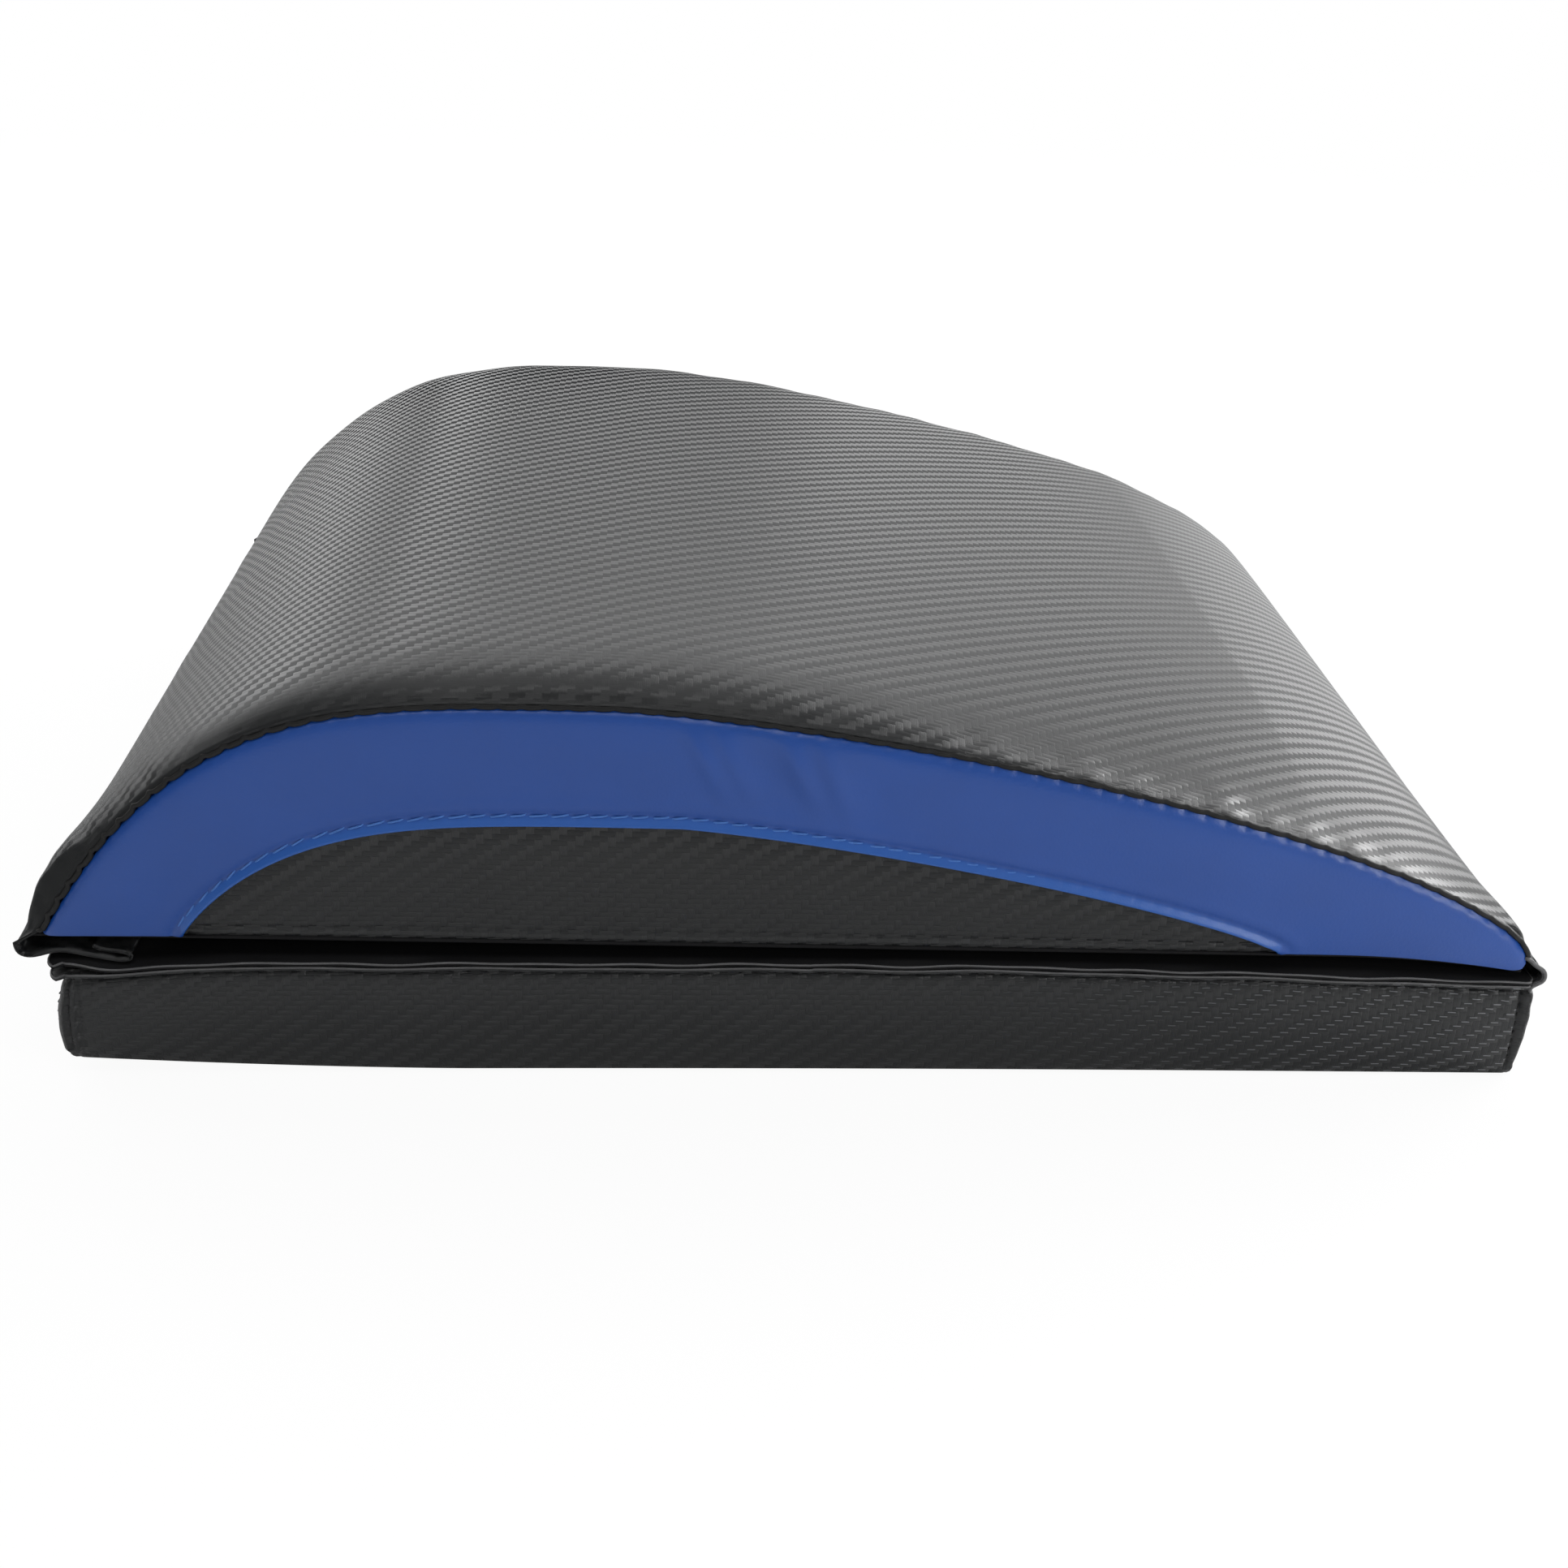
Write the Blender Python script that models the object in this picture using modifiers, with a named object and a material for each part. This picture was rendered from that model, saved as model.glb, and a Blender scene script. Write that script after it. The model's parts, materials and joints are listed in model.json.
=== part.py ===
"""Folding ab mat: a crescent foam hump for the lower back, with a flat tailbone pad hinged to its thin end.

It is stored folded, with the pad under the hump. Metres, +Z up, +X along the spine towards the thin end.
The origin is under the middle of the folded mat, on the surface that the pad lies on.
Both halves hang on an empty on the fabric hinge's axis, and their meshes are measured from that axis.
"""

import math

import bmesh
import bpy
import numpy as np
from mathutils import Matrix

# The whole mat
WIDTH = 0.305
HUMP_LENGTH = 0.3811
TIP_SETBACK = 0.0042
LOOP_OVERHANG = 0.0008
HUMP_TILT_DEGREES = 0.65
VINYL = 0.0009
SOFT_GAP = 0.0003

# Hump: arcs are heights over its base, and each falls away to a foot on both sides of its apex
HUMP_BASE_RISE = 0.0045
TIP_DROOP = 0.0032
TIP_DROOP_LENGTH = 0.05
SEAM_RISE = 0.0638
SEAM_RIGHT_LENGTH = 0.236
SEAM_POWERS = (3.865, 1.369)
SEAM_ROOTS = (1.0, 0.658)
STEEP_END_BULGE = 0.0045
TOP_CROWN = 0.009
CROWN_POWER = 14
TIP_FADE = 0.06
FOOT_TURN = 0.012
SIDE_BULGE = 0.0016
SIDE_INSET = 0.0015
BAND_DEPTH_AT_APEX = 0.0297
BAND_APEX_SHIFT = 0.0154
INSERT_TO_STEEP_FOOT = 0.0338
INSERT_TO_TIP = 0.0656
BAND_POWERS = (4.34, 1.23)
BAND_ROOTS = (0.871, 0.754)
BAND_CORNER_SHARES = (0.12, 0.84)
BAND_LAP = 0.008
FOAM_SIDE_SHARES = (0, 0.5)
TOPSTITCH_MARGIN = 0.0026
THREAD_RADIUS = 0.00035

# Closure flap under the steep end, followed from its outer fold to the end of its hem
FLAP_SIDE_MARGIN = 0.0005
FLAP_OUT = 0.0024
FLAP_DROP = 0.005
FLAP_REACH = 0.0275
FLAP_DIP = 0.0012
HEM_REACH = 0.0085
HEM_RADIUS = 0.0012
TAPE_WIDTH = 0.012
TAPE_LENGTH = 0.26
TAPE_THICKNESS = 0.0011
TAPE_MARGIN = 0.0045

# Tailbone pad
PAD_SHORTER = 0.0078
PAD_LENGTH = HUMP_LENGTH - PAD_SHORTER
PAD_SEAM_HEIGHT = 0.0311
HINGE_BELOW_SEAM = 0.0003
HINGE_HEIGHT = PAD_SEAM_HEIGHT - HINGE_BELOW_SEAM
PAD_SIDE_INSET = 0.0012
PAD_HEEL_LEAN = 0.0024
PAD_HEEL_BULGE = 0.0008
PAD_THIN_END_BULGE = 0.002
PAD_SIDE_BULGE = 0.0013
PAD_DRAW_IN = 0.0012
PAD_CORNER_RADIUS = 0.005
PAD_ROLL_RADIUS = 0.004
PAD_END_SETBACK = 0.0033
THIN_END_DROP = 0.0035
THIN_END_DROP_LENGTH = 0.152
THIN_END_DROP_POWER = 1.3
HEEL_DROP = 0.0031
HEEL_DROP_LENGTH = 0.045
HEEL_DROP_POWER = 1.5
HEEL_LIFT = 0.0044
HEEL_LIFT_LENGTH = 0.1
HEEL_LIFT_POWER = 1.6
FLANGE_OUT = 0.0016
THIN_END_FLANGE = 0.001
FLANGE_UP = 0.0005
CORNER_THREAD_RADIUS = 0.0006
FLANGE_STITCH_DROP = 0.0018
FLAT_FACE_SHARES = (0, 0.35, 0.7)
SIDE_LEVEL_SHARES = (0.55, 1)
CROWN_ROW_SHARES = (0, 0.35, 0.65, 0.85)
CROWN_FALL_POWER = 3

# Fabric hinge
STRIP_THICKNESS = 0.0008
STRIP_SIDE_MARGIN = 0.003
STRIP_TAIL = 0.0055
LOOP_BELLY = 0.0006
HINGE_STITCH_SHARES = (0.35, 0.7)
LOOP_KNEE_SHARES = (0.25, 0.35)

# Mesh counts
ARC_CUTS = 36
FOOT_CUTS = 4
TIP_CUTS = 6
ACROSS_CUTS = 14
FINE_CUTS = 4000
SIDE_CUTS = 6
END_CUTS = 4
CORNER_CUTS = 3
WELD = 1e-6


def clear_scene():
    for obj in list(bpy.data.objects):
        bpy.data.objects.remove(obj, do_unlink=True)


def finish(name, color, roughness, sheen=0.0):
    """A Principled material in this colour."""
    material = bpy.data.materials.new(name)
    material.use_nodes = True
    shader = material.node_tree.nodes["Principled BSDF"]
    shader.inputs["Base Color"].default_value = (*color, 1)
    shader.inputs["Roughness"].default_value = roughness
    shader.inputs["Metallic"].default_value = 0
    shader.inputs["Sheen Weight"].default_value = sheen
    return material


def add_part(name, mesh, carried_by, material):
    """One sub-part, whose mesh is measured from its carrier."""
    obj = bpy.data.objects.new(name, mesh)
    obj.parent = carried_by
    mesh.materials.append(material)
    bpy.data.collections["ab_mat"].objects.link(obj)
    mesh.shade_smooth()
    mesh.set_sharp_from_angle(angle=math.radians(40))
    return obj


def carrier(name, location, tilt=0.0):
    """An empty on the hinge's axis that carries one half of the mat."""
    empty = bpy.data.objects.new(name, None)
    empty.location = location
    empty.rotation_euler = (0, tilt, 0)
    bpy.data.collections["ab_mat"].objects.link(empty)
    return empty


def skin(name, points, filled_ends=False):
    """A grid primitive moved to these points, which come as rows by columns by 3."""
    rows, columns = points.shape[0] - 1, points.shape[1] - 1
    bm = bmesh.new()
    bmesh.ops.create_grid(bm, x_segments=columns, y_segments=rows, size=1)
    for vert in bm.verts:
        row = round((vert.co.y + 1) / 2 * rows)
        column = round((vert.co.x + 1) / 2 * columns)
        vert.co = points[row, column]
    bmesh.ops.remove_doubles(bm, verts=bm.verts, dist=WELD)
    if filled_ends:
        bmesh.ops.holes_fill(bm, edges=[edge for edge in bm.edges if edge.is_boundary])
        bmesh.ops.recalc_face_normals(bm, faces=bm.faces)
    mesh = bpy.data.meshes.new(name)
    bm.to_mesh(mesh)
    bm.free()
    return mesh


def thicken(obj, thickness):
    """The wall goes inwards from the outer face."""
    wall = obj.modifiers.new("wall", "SOLIDIFY")
    wall.thickness = thickness
    wall.offset = -1
    wall.use_even_offset = True
    wall.use_quality_normals = True
    return obj


def mirrored(mesh, name):
    """The same mesh on the other side of the mat, still facing out."""
    copy = mesh.copy()
    copy.name = name
    copy.materials.clear()
    copy.transform(Matrix.Diagonal((1, -1, 1, 1)))
    copy.flip_normals()
    return copy


def thread(name, points, radius, carried_by, material, cyclic=False):
    """A sewn thread laid along these points."""
    curve = bpy.data.curves.new(name, "CURVE")
    curve.dimensions = "3D"
    curve.bevel_depth = radius
    curve.bevel_resolution = 0
    curve.use_fill_caps = not cyclic
    spline = curve.splines.new("POLY")
    spline.points.add(len(points) - 1)
    for knot, point in zip(spline.points, points):
        knot.co = (*point, 1)
    spline.use_cyclic_u = cyclic
    obj = bpy.data.objects.new(name, curve)
    obj.parent = carried_by
    curve.materials.append(material)
    bpy.data.collections["ab_mat"].objects.link(obj)
    return obj


def along(points, shares):
    """Points at these shares of a polyline's length."""
    steps = np.linalg.norm(np.diff(points, axis=0), axis=1)
    length = np.concatenate([[0], np.cumsum(steps)])
    where = np.asarray(shares) * length[-1]
    return np.stack([np.interp(where, length, points[:, k]) for k in range(points.shape[1])], axis=1)


def normals_of(points):
    """Unit normals on the left of an XZ polyline, which point out of the hump on its top."""
    run = np.gradient(points, axis=0)
    normal = np.stack([-run[:, 1], run[:, 0]], axis=1)
    return normal / np.linalg.norm(normal, axis=1, keepdims=True)


# Hump shape

SEAM_TIP = -TIP_SETBACK
SEAM_APEX = SEAM_TIP - SEAM_RIGHT_LENGTH
SEAM_LEFT_LENGTH = HUMP_LENGTH - SEAM_RIGHT_LENGTH - STEEP_END_BULGE
BAND_APEX = SEAM_APEX + BAND_APEX_SHIFT
BAND_LEFT_LENGTH = SEAM_LEFT_LENGTH + BAND_APEX_SHIFT - INSERT_TO_STEEP_FOOT
BAND_RIGHT_LENGTH = SEAM_RIGHT_LENGTH - BAND_APEX_SHIFT - INSERT_TO_TIP
SIDE_FLOOR = VINYL + SOFT_GAP
UNDER_BAND = VINYL + 2 * SOFT_GAP
FOAM_INSET = UNDER_BAND + VINYL + 2 * SOFT_GAP


def arc_height(x, apex, rise, runs, powers, roots):
    """Each side falls as rise * (1 - t ** power) ** root, with t from the apex to the foot."""
    left = np.clip((apex - x) / runs[0], 0, 1)
    right = np.clip((x - apex) / runs[1], 0, 1)
    return rise * (1 - left ** powers[0]) ** roots[0] * (1 - right ** powers[1]) ** roots[1]


def tip_droop(x):
    """How far the thin tip's base hangs below the plane of the base."""
    return TIP_DROOP * np.clip((x - SEAM_TIP + TIP_DROOP_LENGTH) / TIP_DROOP_LENGTH, 0, None) ** 2


def seam_height(x):
    """The seam between the top cover and the side bands, which ends above the drooping tip's base."""
    runs = (SEAM_LEFT_LENGTH, SEAM_RIGHT_LENGTH)
    return arc_height(x, SEAM_APEX, SEAM_RISE, runs, SEAM_POWERS, SEAM_ROOTS) + tip_droop(x)


def band_height(x, growth=0.0):
    """The band's lower edge, or that arc grown all round by a lap."""
    rise = SEAM_RISE - BAND_DEPTH_AT_APEX + growth
    runs = (BAND_LEFT_LENGTH + growth, BAND_RIGHT_LENGTH + growth)
    return arc_height(x, BAND_APEX, rise, runs, BAND_POWERS, BAND_ROOTS)


def seam_points(shares, floor=0.0):
    """Points at these shares of the length of the seam that stands above the floor."""
    x = np.linspace(SEAM_APEX - SEAM_LEFT_LENGTH, SEAM_TIP, FINE_CUTS)
    arc = np.stack([x, SIDE_FLOOR + seam_height(x)], axis=1)
    return along(arc[arc[:, 1] >= floor], shares)


def band_points(shares, growth=0.0):
    """Points at these shares of the length of the band's lower edge, or of that edge grown by a lap."""
    x = np.linspace(BAND_APEX - BAND_LEFT_LENGTH - growth, BAND_APEX + BAND_RIGHT_LENGTH + growth, FINE_CUTS)
    return along(np.stack([x, SIDE_FLOOR + band_height(x, growth)], axis=1), shares)


def side_half_width(x, z):
    """Half the hump's width at a point of its side, which swells between base and seam."""
    height = np.maximum(seam_height(x), SIDE_FLOOR)
    share = np.clip((z - SIDE_FLOOR) / height, 0, 1)
    swell = np.sqrt(height / SEAM_RISE) * 4 * share * (1 - share)
    return WIDTH / 2 - SIDE_INSET + SIDE_BULGE * swell


def placed(points):
    """Points of the hump set over the hinge's axis, with the thin tip bent down."""
    bent = points.copy()
    bent[..., 2] += HUMP_BASE_RISE - tip_droop(points[..., 0])
    return bent


def seam_shares():
    """Shares of the seam's length at which the cover and the bands are cut, with the band's corners among them."""
    left, right = BAND_CORNER_SHARES
    foot = np.linspace(0, left, FOOT_CUTS + 1)[:-1]
    middle = np.linspace(left, right, ARC_CUTS - FOOT_CUTS - TIP_CUTS + 1)
    return np.concatenate([foot, middle, np.linspace(right, 1, TIP_CUTS + 1)[1:]])


def band_outline():
    """The band's lower edge: along the base from the steep foot, over the arc and along the base to the tip."""
    arc = band_points(np.linspace(0, 1, ARC_CUTS - FOOT_CUTS - TIP_CUTS + 1))
    foot = np.linspace(SEAM_APEX - SEAM_LEFT_LENGTH, arc[0, 0], FOOT_CUTS + 1)[:-1]
    tip = np.linspace(arc[-1, 0], SEAM_TIP, TIP_CUTS + 1)[1:]
    x = np.concatenate([foot, arc[:, 0], tip])
    z = np.concatenate([0 * foot + SIDE_FLOOR, arc[:, 1], 0 * tip + SIDE_FLOOR])
    return np.stack([x, z], axis=1)


def side_sheet(lower, upper, rows, inset):
    """A sheet of the front side between two arcs, this far inside the outer side face."""
    share = np.linspace(0, 1, rows + 1)[:, None, None]
    flat = lower[None] + (upper - lower)[None] * share
    x, z = flat[..., 0], flat[..., 1]
    return placed(np.stack([x, inset - side_half_width(x, z), z], axis=-1))


def across(cuts):
    """Shares of the half width from one seam to the other, closer together near the seams."""
    return np.sin(np.linspace(-math.pi / 2, math.pi / 2, cuts + 1))


def cover_rise(seam, shares):
    """How far the cover stands off the seam line, as seam points by shares of the half width."""
    to_tip = np.clip((SEAM_TIP - seam[:, 0]) / TIP_FADE, 0, 1)
    steep = np.clip((SEAM_APEX - seam[:, 0]) / SEAM_LEFT_LENGTH, 0, 1) ** 2
    height = (TOP_CROWN + (STEEP_END_BULGE - TOP_CROWN) * steep) * np.sqrt(to_tip)
    return height[:, None] * np.sqrt(1 - np.abs(shares[None]) ** CROWN_POWER)


def cover_points(seam, shares, inset=0.0):
    """The crowned top, as a grid of points from the steep foot to the tip and from front to back."""
    normal = normals_of(seam)
    normal[:, 1] *= np.clip((seam[:, 1] - SIDE_FLOOR) / FOOT_TURN, 0, 1)
    normal /= np.linalg.norm(normal, axis=1, keepdims=True)
    rise = cover_rise(seam, shares) - inset
    x = seam[:, None, 0] + normal[:, None, 0] * rise
    z = seam[:, None, 1] + normal[:, None, 1] * rise
    half = side_half_width(seam[:, 0], seam[:, 1]) - inset
    y = half[:, None] * shares[None]
    return np.stack([x, y, z], axis=-1)


def hump_top_cover(carried_by, material):
    """One sheet over the hump from the steep foot to the thin tip, down to both side seams."""
    seam = seam_points(seam_shares())
    raised = seam + normals_of(seam) * SIDE_FLOOR
    points = placed(cover_points(raised, across(ACROSS_CUTS)))
    mesh = skin("hump_top_cover", points.transpose(1, 0, 2))
    return thicken(add_part("hump_top_cover", mesh, carried_by, material), VINYL)


def hump_bands(carried_by, material):
    """Crescent bands on both sides, from the top seam down to the edge that laps the inserts."""
    points = side_sheet(band_outline(), seam_points(seam_shares()), 2, 0)
    front = skin("hump_band_front", points)
    back = mirrored(front, "hump_band_back")
    for mesh in (front, back):
        thicken(add_part(mesh.name, mesh, carried_by, material), VINYL)


def hump_inserts(carried_by, material):
    """Segment panels in the middle of both sides, whose upper edge runs on behind the band."""
    upper = band_points(np.linspace(0, 1, ARC_CUTS // 2 + 1), BAND_LAP)
    lower = np.stack([upper[:, 0], np.full(len(upper), SIDE_FLOOR)], axis=1)
    upper[[0, -1], 1] += SOFT_GAP
    points = side_sheet(lower, upper, 2, UNDER_BAND)
    front = skin("hump_insert_front", points)
    back = mirrored(front, "hump_insert_back")
    for mesh in (front, back):
        thicken(add_part(mesh.name, mesh, carried_by, material), VINYL)


def hump_base_panel(carried_by, material):
    """The flat panel under the hump, out to the foot of the cover and of both sides."""
    shares = across(ACROSS_CUTS)
    seam = seam_points(seam_shares())
    left = cover_points(seam, shares)[0, :, 0]
    x = left[:, None] + (SEAM_TIP - left)[:, None] * np.linspace(0, 1, ARC_CUTS // 3 + 1)[None]
    y = np.broadcast_to((WIDTH / 2 - SIDE_INSET) * shares[::-1, None], x.shape)
    points = placed(np.stack([x, y, np.zeros_like(x)], axis=-1))
    mesh = skin("hump_base_panel", points)
    return thicken(add_part("hump_base_panel", mesh, carried_by, material), VINYL)


def hump_foam_core(carried_by, material):
    """The firm foam crescent that fills the hump's cover."""
    inset = FOAM_INSET
    seam = seam_points(np.linspace(0, 1, ARC_CUTS // 2 + 1), SIDE_FLOOR + 2 * inset)
    top = cover_points(seam, across(ACROSS_CUTS - 4), inset)
    shares = np.array(FOAM_SIDE_SHARES)[None]
    x = np.repeat(seam[:, :1], shares.shape[1], axis=1)
    z = SIDE_FLOOR + (seam[:, 1:] - inset - SIDE_FLOOR) * shares
    y = side_half_width(x, z) - inset
    front = np.stack([x, -y, z], axis=-1)
    back = np.stack([x, y, z], axis=-1)[:, ::-1]
    under = front[:, :1]
    middle = np.stack([x[:, :1], 0 * z[:, :1], z[:, :1]], axis=-1)
    points = placed(np.concatenate([middle, front, top, back, middle], axis=1))
    mesh = skin("hump_foam_core", points.transpose(1, 0, 2), filled_ends=True)
    return add_part("hump_foam_core", mesh, carried_by, material)


def band_topstitches(carried_by, material):
    """The row of stitches along each band's lower edge."""
    path = band_points(np.linspace(0, 1, ARC_CUTS + 1), TOPSTITCH_MARGIN)[1:-1]
    half = side_half_width(path[:, 0], path[:, 1]) + SOFT_GAP + THREAD_RADIUS
    for name, side in (("band_topstitch_front", -1), ("band_topstitch_back", 1)):
        points = placed(np.stack([path[:, 0], side * half, path[:, 1]], axis=1))
        thread(name, points, THREAD_RADIUS, carried_by, material)


# Closure flap

STEEP_FOOT = SEAM_APEX - SEAM_LEFT_LENGTH - STEEP_END_BULGE


def flap_path():
    """The flap's outer face in XZ: round the outer fold, along under the base, and back over itself as a hem."""
    fold = FLAP_DROP / 2
    turn = np.linspace(math.pi, 1.5 * math.pi, 5)
    fold_x = STEEP_FOOT - FLAP_OUT + fold * (1 + np.cos(turn))
    start = np.array([[STEEP_FOOT, -SOFT_GAP]])
    outer = np.concatenate([start, np.stack([fold_x, fold * (np.sin(turn) - 1)], axis=1)])
    end_x = STEEP_FOOT + FLAP_REACH
    middle = HEM_RADIUS - FLAP_DROP - FLAP_DIP
    run = np.array([[end_x - TAPE_WIDTH, FLAP_DIP - FLAP_DROP]])
    turn = np.linspace(-math.pi / 2, math.pi / 2, 5)
    hem_x = end_x - HEM_RADIUS + HEM_RADIUS * np.cos(turn)
    hem = np.stack([hem_x, middle + HEM_RADIUS * np.sin(turn)], axis=1)
    back = run + (hem[0] - run) * (TAPE_WIDTH - HEM_REACH) / TAPE_WIDTH + np.array([0, 2 * HEM_RADIUS])
    return np.concatenate([outer, run, hem, back])


def closure_flap(carried_by, material):
    """The cover's end, folded under the steep foot and hemmed, which shuts the cover round its foam."""
    path = flap_path()
    half = WIDTH / 2 - SIDE_INSET - FLAP_SIDE_MARGIN
    y = np.array([half, -half])
    points = np.zeros((2, len(path), 3))
    points[..., 0] = path[None, :, 0]
    points[..., 1] = y[:, None]
    points[..., 2] = path[None, :, 1] + HUMP_BASE_RISE
    mesh = skin("closure_flap", points)
    return thicken(add_part("closure_flap", mesh, carried_by, material), VINYL)


def closure_tapes(carried_by, material):
    """Two strips of fastening tape, one on the base and one on the flap's inner face."""
    top = HUMP_BASE_RISE - SOFT_GAP
    for name, level in (("flap_loop_tape", top), ("flap_hook_tape", top - TAPE_THICKNESS - SOFT_GAP)):
        bm = bmesh.new()
        bmesh.ops.create_cube(bm, size=1)
        mesh = bpy.data.meshes.new(name)
        bm.to_mesh(mesh)
        bm.free()
        middle = STEEP_FOOT + TAPE_MARGIN + TAPE_WIDTH / 2
        size = Matrix.Diagonal((TAPE_WIDTH, TAPE_LENGTH, TAPE_THICKNESS, 1))
        mesh.transform(Matrix.Translation((middle, 0, level - TAPE_THICKNESS / 2)) @ size)
        add_part(name, mesh, carried_by, material)


# Pad shape

PAD_RIGHT = -PAD_END_SETBACK
PAD_MIDDLE = PAD_RIGHT - PAD_LENGTH / 2
PAD_HALF_WIDTH = WIDTH / 2 - PAD_SIDE_INSET


def pad_bottom(x):
    """The underside lies flat, and its heel under the steep end lifts off the floor."""
    heel = PAD_RIGHT - PAD_LENGTH
    share = np.clip((heel + HEEL_LIFT_LENGTH - x) / HEEL_LIFT_LENGTH, 0, None)
    return HEEL_LIFT * share**HEEL_LIFT_POWER - HINGE_HEIGHT


def pad_seam(x):
    """The seam round the pad's upper edge, which dips towards both ends."""
    heel = PAD_RIGHT - PAD_LENGTH
    thin = np.clip((x - PAD_RIGHT + THIN_END_DROP_LENGTH) / THIN_END_DROP_LENGTH, 0, None)
    left = np.clip((heel + HEEL_DROP_LENGTH - x) / HEEL_DROP_LENGTH, 0, None)
    drop = THIN_END_DROP * thin**THIN_END_DROP_POWER + HEEL_DROP * left**HEEL_DROP_POWER
    return PAD_SEAM_HEIGHT - drop - HINGE_HEIGHT


def pad_loop(inset):
    """A closed rounded rectangle this far inside the seam line, clockwise from above, with its outward normals."""
    half_x, half_y = PAD_LENGTH / 2 - inset, PAD_HALF_WIDTH - inset
    radius = max(PAD_CORNER_RADIUS - inset, PAD_CORNER_RADIUS / 2)
    turn = np.linspace(0, math.pi / 2, CORNER_CUTS + 1)
    ends = np.linspace(0, 1, SIDE_CUTS + 1)[:-1]
    sides = np.linspace(1, 0, END_CUTS + 1)[1:]
    x = np.concatenate([ends * (half_x - radius), half_x - radius + radius * np.sin(turn), 0 * sides + half_x])
    y = np.concatenate([0 * ends + half_y, half_y - radius + radius * np.cos(turn), sides * (half_y - radius)])
    nx = np.concatenate([0 * ends, np.sin(turn), 0 * sides + 1])
    ny = np.concatenate([0 * ends + 1, np.cos(turn), 0 * sides])
    y -= PAD_DRAW_IN * ny * np.cos(x / half_x * math.pi / 2)
    quarter = np.stack([x, y, nx, ny], axis=1)
    lower = quarter[::-1][1:] * (1, -1, 1, -1)
    right = np.concatenate([quarter, lower])
    left = right[::-1][1:] * (-1, 1, -1, 1)
    return np.concatenate([right, left])


def pad_row(share, level, lift=0.0, out=(0, 0, 0)):
    """One row round the pad: its share of the loop, share of the height, lift and outward steps.

    The steps are those of the sides, the heel end and the thin end, and each swells between base and seam.
    """
    swell = level * (1 - level) * 4
    steps = (
        out[0] + PAD_SIDE_BULGE * swell,
        out[1] + PAD_HEEL_BULGE * swell + PAD_HEEL_LEAN * (1 - level),
        out[2] + PAD_THIN_END_BULGE * swell,
    )
    return share, level, lift, steps


def pad_rows(rows, inset):
    """The points of these rows."""
    loop = pad_loop(inset)
    points = []
    for share, level, lift, (side, heel, thin) in rows:
        end = np.where(loop[:, 2] < 0, heel, thin)
        x = PAD_MIDDLE + share * (loop[:, 0] + end * loop[:, 2])
        y = share * (loop[:, 1] + side * loop[:, 3])
        z = pad_bottom(x) + level * (pad_seam(x) - pad_bottom(x)) + lift
        points.append(np.stack([x, y, z], axis=1))
    return np.array(points)


def tray_rows(roll, lift=0.0):
    """The shell's rows from the middle of its flat face, round the rolled edge and up its swelling side."""
    rows = [pad_row(share, 0, lift, (-roll,) * 3) for share in FLAT_FACE_SHARES]
    for turn in np.linspace(0, math.pi / 2, 4):
        level = roll / PAD_SEAM_HEIGHT * (1 - math.cos(turn))
        rows.append(pad_row(1, level, lift * (1 - 2 * level), (roll * (math.sin(turn) - 1),) * 3))
    return rows + [pad_row(1, level, lift * (1 - 2 * level)) for level in SIDE_LEVEL_SHARES]


def pad_shell_cover(carried_by, material):
    """The face and all four sides in one sheet, with its upper edge turned out into the seam flange."""
    flange = pad_row(1, 1, FLANGE_UP, (FLANGE_OUT, FLANGE_OUT, THIN_END_FLANGE))
    mesh = skin("pad_shell_cover", pad_rows([*tray_rows(PAD_ROLL_RADIUS), flange], 0)[:, ::-1])
    return thicken(add_part("pad_shell_cover", mesh, carried_by, material), VINYL)


PANEL_LIFT = 2 * VINYL + SOFT_GAP


def crown_share(share):
    return 1 - share**CROWN_FALL_POWER


def hump_base_level(x):
    """How high the underside of the tilted hump lies over the hinge's axis."""
    tilt = math.radians(HUMP_TILT_DEGREES)
    return (HUMP_BASE_RISE - tip_droop(x)) * math.cos(tilt) - x * math.tan(tilt)


def pad_crown():
    """The crown swells until it carries the hump's base."""
    margin = 2 * PAD_CORNER_RADIUS
    x = np.linspace(PAD_RIGHT - PAD_LENGTH + margin, PAD_RIGHT - margin, FINE_CUTS)
    share = np.abs(x - PAD_MIDDLE) / (PAD_LENGTH / 2)
    under_flap = FLAP_DROP + FLAP_DIP
    room = hump_base_level(x) - np.where(x < STEEP_FOOT + FLAP_REACH, under_flap, 0) - pad_seam(x) - PANEL_LIFT
    return ((room - SOFT_GAP) / crown_share(share)).min()


def pad_base_panel(carried_by, material):
    """The crowned panel that faces the hump's base, out to the upper layer of the flange."""
    crown = pad_crown()
    rows = [pad_row(share, 1, PANEL_LIFT + crown * crown_share(share)) for share in (*CROWN_ROW_SHARES, 1)]
    rows.append(pad_row(1, 1, PANEL_LIFT + FLANGE_UP, (FLANGE_OUT, FLANGE_OUT, THIN_END_FLANGE)))
    mesh = skin("pad_base_panel", pad_rows(rows, 0))
    return thicken(add_part("pad_base_panel", mesh, carried_by, material), VINYL)


def pad_foam_core(carried_by, material):
    """The soft foam block inside the pad."""
    inset = UNDER_BAND
    crown = pad_crown()
    rows = tray_rows(PAD_ROLL_RADIUS - inset, inset)
    for share in reversed(CROWN_ROW_SHARES):
        rows.append(pad_row(share, 1, crown * crown_share(share) - inset))
    mesh = skin("pad_foam_core", pad_rows(rows, inset), filled_ends=True)
    return add_part("pad_foam_core", mesh, carried_by, material)


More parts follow.
